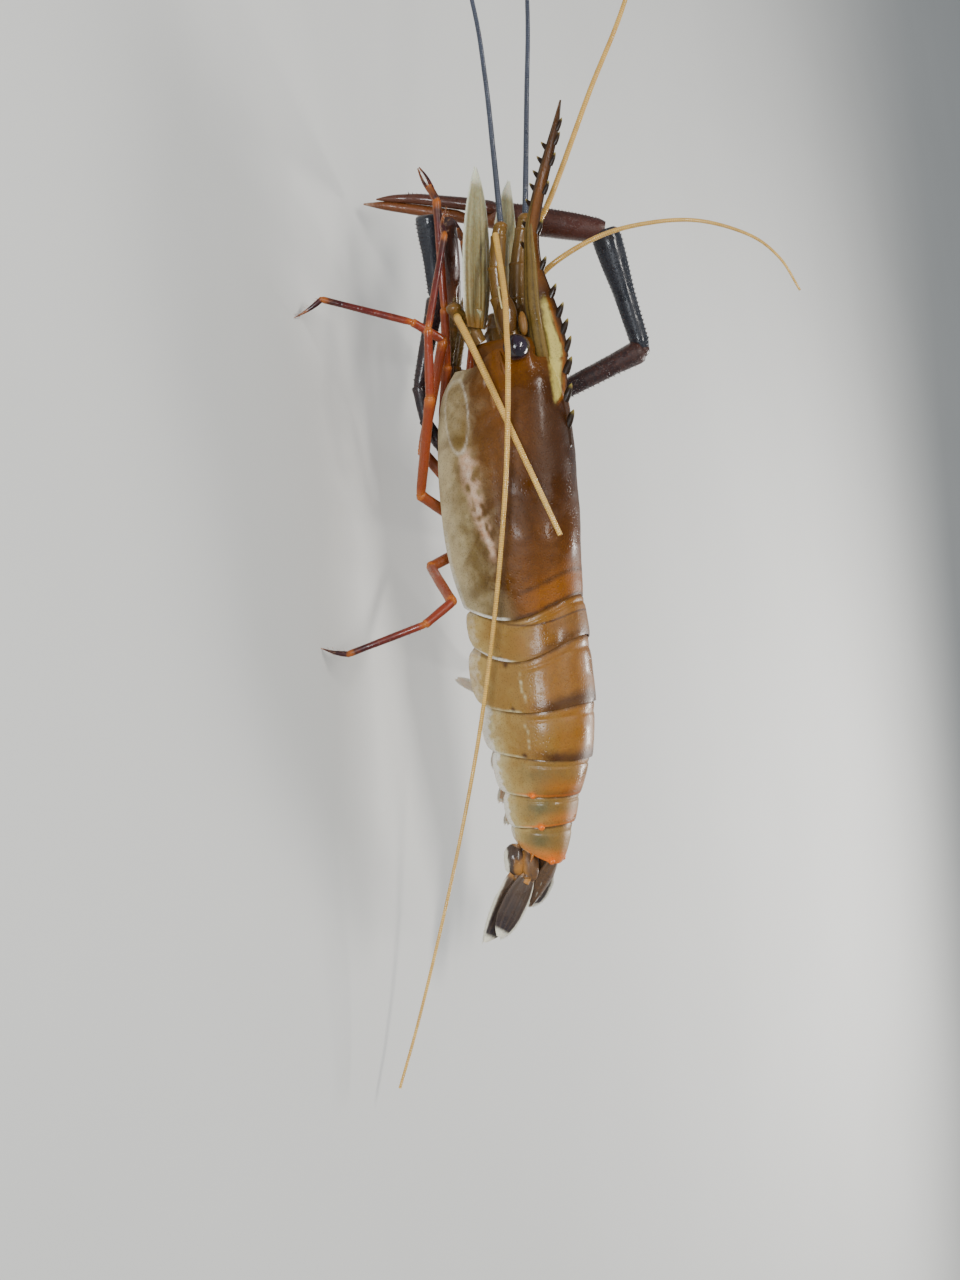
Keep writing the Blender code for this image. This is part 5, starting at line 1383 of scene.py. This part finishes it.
EYE_SKIN = living_finish("eye_facets", eye_colours, relief=(0.22, 0.5, 3.0, 0.2), damp=(0.05, 0.14, 4.0),
                         bump=0.00003, coat=1.0, glow=0.0)
for word, side in SIDES.items():
    centre, root = mirrored((EYE, EYE_ROOT), side)
    way = unit(centre - root)
    ball = Shape()
    turn = np.linspace(0.06, math.pi - 0.06, 36)
    path = centre - way * EYE_RADIUS * np.cos(turn)[:, None]
    ball.loft(tube_rings(path, EYE_RADIUS * np.sin(turn), 48), pale=rise(1.1 - turn, 0.0, 0.5)[:, None])
    make_piece(f"eye_ball_{word}", ball, EYE_SKIN, [f"eye_{word}"])
    stalk = Shape()
    t = np.linspace(0, 1, 26)
    reach = np.linalg.norm(centre - root) - SOCKET
    rings = tube_rings(root + way * (reach * t)[:, None], np.interp(t, *STALK), 28)
    stalk.loft(rings, back=0.5, warm=0.3, far=t[:, None], dark=(0.75 * rise(t, 0.84, 0.93))[:, None],
               pale=(0.6 * hump(t, 0.78, 0.05))[:, None])
    make_piece(f"eye_stalk_{word}", stalk, STEM, [f"eyestalk_{word}"])

# %% [markdown]
# Feeler scales, fan blades and swimmerets are one thing in different sizes: a lens-shaped blade with
# lengthwise ribs, drawn from an outline. Its edge is painted pale, and may carry a fringe of hairs.

# %% Blades
FRINGE_HAIRS = 130
# Share along a blade, its width there, and how far its middle is shifted
LEAF = ((0.0, 0.34, 0.0), (0.1, 0.62, 0.0), (0.3, 0.93, 0.0), (0.55, 1.0, 0.0), (0.78, 0.86, 0.0),
        (0.92, 0.55, 0.0), (1.0, 0.18, 0.0))


def add_blade(shape, root, way, across, length, half_width, thickness, outline, bend=0.0, ribs=3,
              rib_height=0.1, fringe=0.0, seed=0, edge_from=0.88, rims=(1.0, 1.0), **values):
    """A lens-shaped blade with lengthwise ribs, pale edges and, if asked, a fringe of fine hairs."""
    root, way = np.asarray(root, float), unit(way)
    across = square_to(way, across)
    face = np.cross(across, way)
    t, k = np.linspace(0, 1, 56), np.linspace(-1, 1, 25)
    width, shift = smooth_stations(outline, t).T
    width = np.maximum(width, 0.05)
    centre = root + way * (length * t)[:, None] + across * (half_width * shift)[:, None]
    centre = centre + face * (bend * t ** 2)[:, None]
    lens = np.maximum(0.12, thickness / 2 * (1 - 0.8 * k ** 2) * (0.45 + 0.55 * width)[:, None])
    ridge = rib_height * (0.5 + 0.5 * np.cos(ribs * math.pi * k)) * (1 - k ** 2)
    ridge = ridge * rise(1 - t, 0.05, 0.3)[:, None]
    sheet = centre[:, None] + across * (k * (half_width * width)[:, None])[..., None]
    depth = face * (lens + ridge)[..., None]
    rings = np.concatenate([sheet + depth, (sheet - depth)[:, ::-1]], axis=1)
    rib = np.append(k, k[::-1])
    share = t[:, None]
    edge = rise(np.abs(rib), edge_from, 0.97) * np.where(rib < 0, *rims)
    edge = np.maximum(edge, rise(share, 0.87, 0.94)) * rise(share, 0.08, 0.2)
    values["pale"] = np.maximum(edge, values.get("pale", 0.0))
    values["warm"] = np.maximum(rise(0.14 - share, 0.0, 0.12), values.get("warm", 0.0))
    shape.loft(rings, rib=rib, far=share, back=0.7, **values)
    if fringe:
        chance = np.random.default_rng(seed)
        steps = np.concatenate([np.linspace(0.35, 1.0, FRINGE_HAIRS)] * 2)
        sign = np.repeat((-1.0, 1.0), FRINGE_HAIRS)
        wide, drift = smooth_stations(outline, steps).T
        feet = (root + way * (length * steps)[:, None] + face * (bend * steps ** 2)[:, None]
                + across * (half_width * (drift + sign * np.maximum(wide, 0.05) * 0.97))[:, None])
        lengths = fringe * chance.uniform(0.75, 1.0, len(steps))
        lengths = lengths * np.where(sign < 0, *np.maximum(rims, 0.15))
        outs = across * (sign * (1.1 - 0.9 * steps))[:, None] + way * 0.9
        outs = outs + chance.normal(0, 0.06, (len(steps), 3))
        add_bristles(shape, feet, outs, lengths, 0.06, pale=0.9, far=1.0)


print("each edge of a fringed blade has", FRINGE_HAIRS, "hairs")

# %% [markdown]
# Two pairs of feelers leave the head. The upper stems are jointed, and their first segment carries a
# flat blade and two soft lobes on its outer side. The lower stems are short and thick, and each has a
# scale, a whip and a small spine beside it.

# %% Feeler stems
FEELER_ROOT = HEAD_FACE - GAP
ANTENNULE = {
    "left": ((FEELER_ROOT, -4.3, 44.7), (-9.5, -5.0, 43.6), (-17.0, -5.4, 44.0), (-24.4, -5.5, 45.7),
             (-27.0, -5.5, 46.6)),
    "right": ((FEELER_ROOT, 4.3, 44.7), (-10.0, 5.0, 44.0), (-19.0, 5.4, 45.5), (-27.6, 5.6, 48.1),
              (-30.4, 5.6, 49.1)),
}
ANTENNULE_RADII = (2.5, 2.4, 2.2, 1.9, 1.7)
ANTENNA = ((FEELER_ROOT, 6.3, 36.2), (-3.0, 7.9, 35.4), (-5.4, 10.0, 34.5), (-8.1, 12.0, 33.8))
ANTENNA_RADII = (2.6, 2.6, 2.0, 1.7)
JAW_RADII = (1.5, 1.45, 1.4, 1.2, 0.5)
JAW_LEG = ((13.5, 2.3, ROOT_Z), (12.6, 2.2, 23.9), (4.0, 2.3, 25.4), (-5.0, 2.4, 28.4), (-13.5, 2.2, 30.2))
for word, side in SIDES.items():
    upper = Shape()
    add_limb(upper, ANTENNULE[word], ANTENNULE_RADII, sides=24, orange=0.15)
    start, end = np.array(ANTENNULE[word][:2], float)
    add_blade(upper, start + (-1.0, side * 1.4, 0.6), end - start, (0, side, 0.15), 12.5, 2.1, 1.5,
              LEAF, -0.4, dark=0.15)
    add_ball(upper, (-4.6, side * 5.2, 44.9), 3.0, (1.9, 1.05, 0.85), 14, 24, far=0.3, back=0.7, rib=0.25)
    add_ball(upper, (-2.1, side * 5.0, 48.8), 1.0, (3.1, 1.0, 1.15), 14, 24, far=0.9, warm=0.3)
    add_ball(upper, ANTENNULE[word][-1], 1.75, (0.8, 1.0, 1.0), warm=0.2, far=1.0)
    add_hairs(upper, start, end, *ANTENNULE_RADII[:2], 60, 21, 0.7, pale=0.6)
    make_piece(f"antennule_stem_{word}", upper, STEM, [f"antennule_{word}"])
    lower = Shape()
    joints = mirrored(ANTENNA, side)
    add_limb(lower, joints, ANTENNA_RADII, sides=24, orange=0.3)
    add_ball(lower, joints[-1], 2.1, (0.8, 1.0, 1.0), warm=0.1, far=1.0)
    add_horn(lower, (-1.4, side * 8.6, 35.6), (-3.8, side * 12.4, 36.6), 0.95, flat=0.9, back=0.5, pale=0.3)
    make_piece(f"antenna_stem_{word}", lower, STEM, [f"antenna_{word}"])
    jaw = Shape()
    joints = mirrored(JAW_LEG, side)
    add_limb(jaw, joints, JAW_RADII, sides=18, tip=0.2)
    for k in (2, 3):
        add_hairs(jaw, joints[k], joints[k + 1], JAW_RADII[k], JAW_RADII[k + 1], 90, 40 + k, 1.1,
                  pale=0.7, far=1.0)
    make_piece(f"jaw_leg_{word}", jaw, STEM, [f"maxilliped_{word}"])

# %% [markdown]
# The feeler scales are long flat shields beside the head. Their ribs are what makes them look like
# horn, so the ribs are part of the mesh, and a fringe of fine hairs lines the edges.

# %% Feeler scales
SCALE = ((0.0, 0.62, 0.1), (0.12, 0.84, 0.05), (0.32, 0.98, 0.0), (0.58, 0.90, 0.02), (0.80, 0.62, 0.06),
         (0.92, 0.34, 0.12), (1.0, 0.06, 0.2))
SCALE_LEAN = {"left": 8.0, "right": -9.0}
for word, side in SIDES.items():
    scale = Shape()
    lean = math.radians(SCALE_LEAN[word])
    add_blade(scale, (-2.6, side * 8.6, 38.0), (-1.0, 0.0, 0.115),
              (0.0, side * math.cos(lean), -math.sin(lean)), 39.6, 6.4, 1.2, SCALE, 1.8 * side,
              ribs=4, rib_height=0.34, fringe=0.9, seed=3, warm=0.35)
    add_limb(scale, ((-2.2, side * 7.9, 36.0), (-7.6, side * 8.8, 38.9)), (1.5, 1.1), sides=20)
    make_piece(f"feeler_scale_{word}", scale, SCALE_SKIN, [f"antenna_scale_{word}"])

# %% [markdown]
# The whips are thin tapering tubes of hundreds of rings. A curve with a bevel would draw them in one
# line, but a loft can paint the distance along the whip on its points, which the ring group needs.

# %% Whips
FEELER_REACH = 178.0
RING_PITCH = 0.55
# Finish, radius at the root and at the tip, and route of each whip
WHIPS = {
    "antennule_whip_upper_left": ("feeler_blue", 0.8, 0.3, (
        (-27.5, -5.5, 46.8), (-46.1, -6.0, 47.8), (-64.6, -7.0, 48.8), (-83.3, -8.0, 48.6),
        (-122.0, -12.0, 45.5), (-158.0, -20.0, 37.0))),
    "antennule_whip_upper_right": ("feeler_blue", 0.8, 0.3, (
        (-30.8, 5.6, 49.25), (-59.5, 5.3, 54.2), (-84.5, 6.0, 57.9), (-124.0, 10.0, 59.5),
        (-165.0, 19.0, 53.0))),
    "antennule_whip_lower_left": ("feeler_tan", 0.8, 0.35, (
        (-24.75, -8.3, 46.15), (-18.6, -11.0, 47.4), (-7.1, -14.8, 49.0), (2.4, -17.7, 49.3),
        (9.6, -19.0, 49.1), (30.2, -20.0, 46.1), (46.8, -20.0, 42.5), (65.9, -19.2, 37.3),
        (85.1, -18.8, 31.6), (104.5, -20.0, 25.8), (126.1, -25.0, 20.0), (147.0, -32.0, 14.6),
        (165.3, -41.0, 10.6), (FEELER_REACH, -49.0, 8.0))),
    "antennule_whip_lower_right": ("feeler_tan", 0.8, 0.35, (
        (-27.45, 6.3, 50.85), (-31.8, 7.3, 54.4), (-41.1, 9.2, 59.4), (-60.1, 13.0, 68.8),
        (-81.6, 18.0, 79.8), (-112.0, 26.0, 90.0), (-145.0, 36.0, 91.5), (-FEELER_REACH, 47.0, 84.0))),
    "antenna_whip_left": ("feeler_tan", 1.0, 0.65, (
        (-5.8, -12.7, 34.65), (-4.2, -15.1, 36.0), (0.4, -16.3, 38.2), (7.9, -16.6, 40.9),
        (30.5, -15.9, 48.0), (52.5, -15.4, 55.0))),
    "antenna_whip_right": ("feeler_tan", 0.95, 0.3, (
        (-6.95, 13.48, 35.65), (-8.7, 15.5, 38.1), (-13.4, 17.2, 42.0), (-20.0, 18.6, 49.6),
        (-25.2, 22.0, 62.7), (-26.4, 26.0, 75.6), (-24.5, 29.0, 88.0), (-18.3, 31.0, 100.0),
        (-11.0, 32.0, 106.6), (-2.1, 33.0, 110.3))),
}


def whip_colours(near, far, groove):
    """A colour tree: from near to far along the whip, with darker grooves between its rings."""
    def colours(tree):
        skin = mix_colours(tree, painted(tree, "far"), near, far)
        rings = use(tree, ANNULI, Distance=painted(tree, "along"), Pitch=RING_PITCH)["Groove"]
        skin = mix_colours(tree, times(tree, rings, 0.55), skin, groove)
        pigment = use(tree, PIGMENT, Cloud_Size=5.0, Speck_Size=0.5)
        return mix_colours(tree, times(tree, pigment["Clouds"], 0.3), skin, groove)
    return colours


# Near, far and groove tint, roughness where dry, and glow
WHIP_LOOKS = {
    "feeler_blue": ((0.042, 0.050, 0.075), (0.070, 0.080, 0.115), (0.016, 0.018, 0.026), 0.36, 0.05),
    "feeler_tan": ((0.66, 0.39, 0.085), (0.72, 0.46, 0.12), (0.24, 0.12, 0.026), 0.38, 0.15),
}
WHIP_FINISHES = {
    name: living_finish(name, whip_colours(*tints), relief=(0.4, 0.2, 2.0, 0.3), damp=(0.14, dry, 5.0),
                        rings=RING_PITCH, glow=glow)
    for name, (*tints, dry, glow) in WHIP_LOOKS.items()
}
for name, (finish_name, thick, thin, points) in WHIPS.items():
    path = smooth_route(points, 0.6)
    steps = np.append(0.0, np.cumsum(np.linalg.norm(np.diff(path, axis=0), axis=1)))
    t = steps / steps[-1]
    radii = thick + (thin - thick) * t ** 0.8
    rings = tube_rings(path, radii, 12)
    whip = Shape()
    whip.loft(rings, along=steps[:, None], far=t[:, None], back=upper_half(rings))
    make_piece(name + "_fine", whip, WHIP_FINISHES[finish_name], [name])

# %% [markdown]
# The tail fan is a tapering middle plate between two pairs of blades. It is nearly black, with ribs
# and cream fringed edges, and orange where the blades are hinged.

# %% Tail fan
FAN_DROP, FAN_ROLL = math.radians(36), math.radians(25)
TELSON_HEIGHT = 34.3
# Place along the middle plate, its half width and half height
TELSON = ((-0.8, 3.1, 1.3), (2.6, 3.3, 1.4), (6.0, 3.0, 1.35), (10.4, 2.1, 1.05), (13.0, 1.2, 0.7),
          (14.6, 0.35, 0.3))


def fan_face(height):
    """Where the slanted rear edge of the last ring, that the fan is seated in, stands at a height."""
    ridge_x, bow, lean = EDGES[-1]
    return ridge_x + float(edge_shift(height, bow, lean)) + 1.24 * GAP


def make_telson():
    """The middle plate. It hangs down by one angle and is rolled about its own line by another."""
    places = np.linspace(TELSON[0][0], TELSON[-1][0], 60)
    wide, high = smooth_stations(TELSON, places).T
    turn = np.linspace(0, math.tau, 36, endpoint=False)
    along = np.array((math.cos(FAN_DROP), 0.0, -math.sin(FAN_DROP)))
    roll = FAN_ROLL * np.clip(places / 5.0, 0.0, 1.0)
    across = np.stack([0 * roll, np.cos(roll), np.sin(roll)], -1)
    across = across - (across @ along)[:, None] * along
    across /= np.linalg.norm(across, axis=1, keepdims=True)
    over = np.cross(along, across)
    root = np.array((fan_face(TELSON_HEIGHT), 0.0, TELSON_HEIGHT))
    ridge = 0.22 * np.exp(-((turn - math.pi / 2) / 0.3) ** 2)
    rings = (root + along * places[:, None])[:, None] + (
        (wide[:, None] * np.cos(turn))[..., None] * across[:, None]
        + (np.maximum(high, 0.2)[:, None] * (np.sin(turn) * 0.85 + ridge))[..., None] * over[:, None])
    share = ((places - places[0]) / (places[-1] - places[0]))[:, None]
    shape = Shape()
    shape.loft(rings, far=0.5 * share, rib=np.cos(turn), back=0.7,
               warm=0.10 + 0.5 * rise(0.12 - share, 0.0, 0.1), pale=0.6 * rise(share, 0.95, 1.0))
    for place, beside in ((6.0, 1.3), (9.5, 0.9)):
        k = int(np.argmin(np.abs(places - place)))
        for side in SIDES.values():
            foot = root + along * place + across[k] * side * beside + over[k] * 0.7
            add_horn(shape, foot, foot + along * 1.4 + over[k] * 0.4, 0.26, flat=0.9, pale=0.2, sides=8)
    return shape


make_piece("telson_plate", make_telson(), FAN_SKIN, ["telson"])
print("the fan is turned over by", round(math.degrees(FAN_ROLL)), "degrees")

# %% [markdown]
# Each side blade is hinged under the last ring and carries a swollen lobe at its root. The far pair
# stands up behind the middle plate, so that its broad pale edge shows past it, as in the photo.

# %% Side blades of the fan
# First root, tip, the way across and half width of each blade. Then the strength of the pale rims at
# its inner and outer edge, the place across where they begin, and its lobe's centre and half sizes
UROPODS = {
    "inner_left": ((135.6, -4.5, 29.5), (150.4, -12.0, 21.6), (0.0, -0.80, -0.60), 3.6,
                   (1.0, 0.0), 0.82, (133.8, -4.0, 29.2), (4.4, 1.7, 1.65)),
    "outer_left": ((135.4, -5.4, 26.8), (152.2, -11.8, 18.9), (0.0, -0.80, -0.60), 3.8,
                   (0.0, 1.0), 0.80, (132.2, -5.8, 26.1), (4.3, 2.2, 2.3)),
    "inner_right": ((135.6, 3.0, 31.0), (146.6, 8.2, 22.6), (0.0, 0.60, 0.80), 3.5,
                    (0.0, 1.0), 0.70, (133.9, 2.0, 29.4), (3.2, 1.6, 1.5)),
    "outer_right": ((135.4, 5.0, 29.3), (146.8, 14.0, 18.9), (0.0, 0.50, 0.85), 4.1,
                    (0.0, 1.0), 0.70, (132.2, 5.8, 26.1), (4.3, 2.2, 2.3)),
}
OUTER_LEAF = ((0.0, 0.60, 0.0), (0.1, 0.80, 0.0), (0.3, 0.96, 0.0), (0.55, 1.0, 0.0),
              (0.78, 0.78, 0.12), (0.92, 0.42, 0.32), (1.0, 0.10, 0.50))
for name, row in UROPODS.items():
    root, tip, across, half_width, rims, edge_from, centre, half_sizes = map(np.array, row)
    outer, way = name.startswith("outer"), unit(tip - root)
    fan_blade = Shape()
    add_blade(fan_blade, root, way, across, np.linalg.norm(tip - root), half_width, 1.1,
              OUTER_LEAF if outer else LEAF, ribs=2, rib_height=0.24, fringe=1.1, seed=7,
              edge_from=edge_from, rims=rims)
    add_segment(fan_blade, root - way * 0.5, root + way * 3.4, 1.3, 0.9, 20, warm=0.9, root=True)
    add_segment(fan_blade, (fan_face(root[2]), root[1] * 0.97, root[2] + 0.4), root + way * 2.0,
                1.4, 1.2, 24, warm=0.35, dark=0.4, root=True)
    turn = np.linspace(0.05, math.pi - 0.05, 28)
    path = centre - np.cos(turn)[:, None] * half_sizes * (1, 0, 0)
    swollen = (1.18 if outer else 1.6) * half_sizes[2]
    rings = tube_rings(path, swollen * np.sin(turn), 40, (0, 0, 1), half_sizes[1] / half_sizes[2])
    outward = centre[2] - rings[..., 2] + VIEW_SLANT * (np.abs(rings[..., 1]) - abs(centre[1]))
    rings = swell(rings, 0.35 * soft_noise(rings, 1.8, 6.0))
    if outer:
        inward = rise(0.9 - outward, 0.0, 1.2) * rise(rings[..., 0], centre[0] - 1.5, centre[0] + 1.5)
        fan_blade.loft(rings, far=0.45, back=0.5, rib=0.25, warm=0.75 * inward, pale=rise(outward, 1.5, 1.9))
    else:
        fan_blade.loft(rings, far=0.3, back=0.5, warm=0.25 + 0.6 * rise(outward, 0.2, 1.6),
                       dark=0.2 + 0.3 * soft_noise(rings, 1.2, 3.0))
    make_piece(f"uropod_{name}_fine", fan_blade, FAN_SKIN, [f"uropod_{name}"])

# %% [markdown]
# Swimmerets hang under the tail, a pair to a ring. Most of them lie folded against the belly and
# show only from below, and the second pair peeps out behind the broad side flap.

# %% Swimmerets
# Ring, place, angle of the paddle, its length, and how far its stem hangs down
SWIMMERETS = ((1, 75.0, -165, 9.0, 2.6), (2, 90.0, -122, 9.5, 4.6), (3, 100.0, -26, 9.0, 2.8),
              (4, 110.0, -28, 8.0, 2.8), (5, 117.2, -30, 6.5, 2.6))
for number, x, angle, length, drop in SWIMMERETS:
    *_, hem_width, belly = RINGS[number - 1]
    belly -= GAP
    slope = math.radians(angle)
    for word, side in SIDES.items():
        y = side * hem_width * 0.42
        way = (math.cos(slope), side * 0.12, math.sin(slope))
        paddle = Shape()
        add_segment(paddle, (x, y, belly + 0.2), (x, y, belly - drop), 1.3, 1.2, root=True)
        add_blade(paddle, (x, y, belly - drop + 0.6), way, (0.0, side, -0.35), length + 1.6 * (number == 2),
                  hem_width * 0.27, 0.9, LEAF, ribs=2, fringe=1.0, seed=number, pale=0.8 * (number == 2))
        make_piece(f"swimmeret_paddle_{number}_{word}", paddle, PADDLE_SKIN,
                   [f"swimmeret{number}_{word}"])
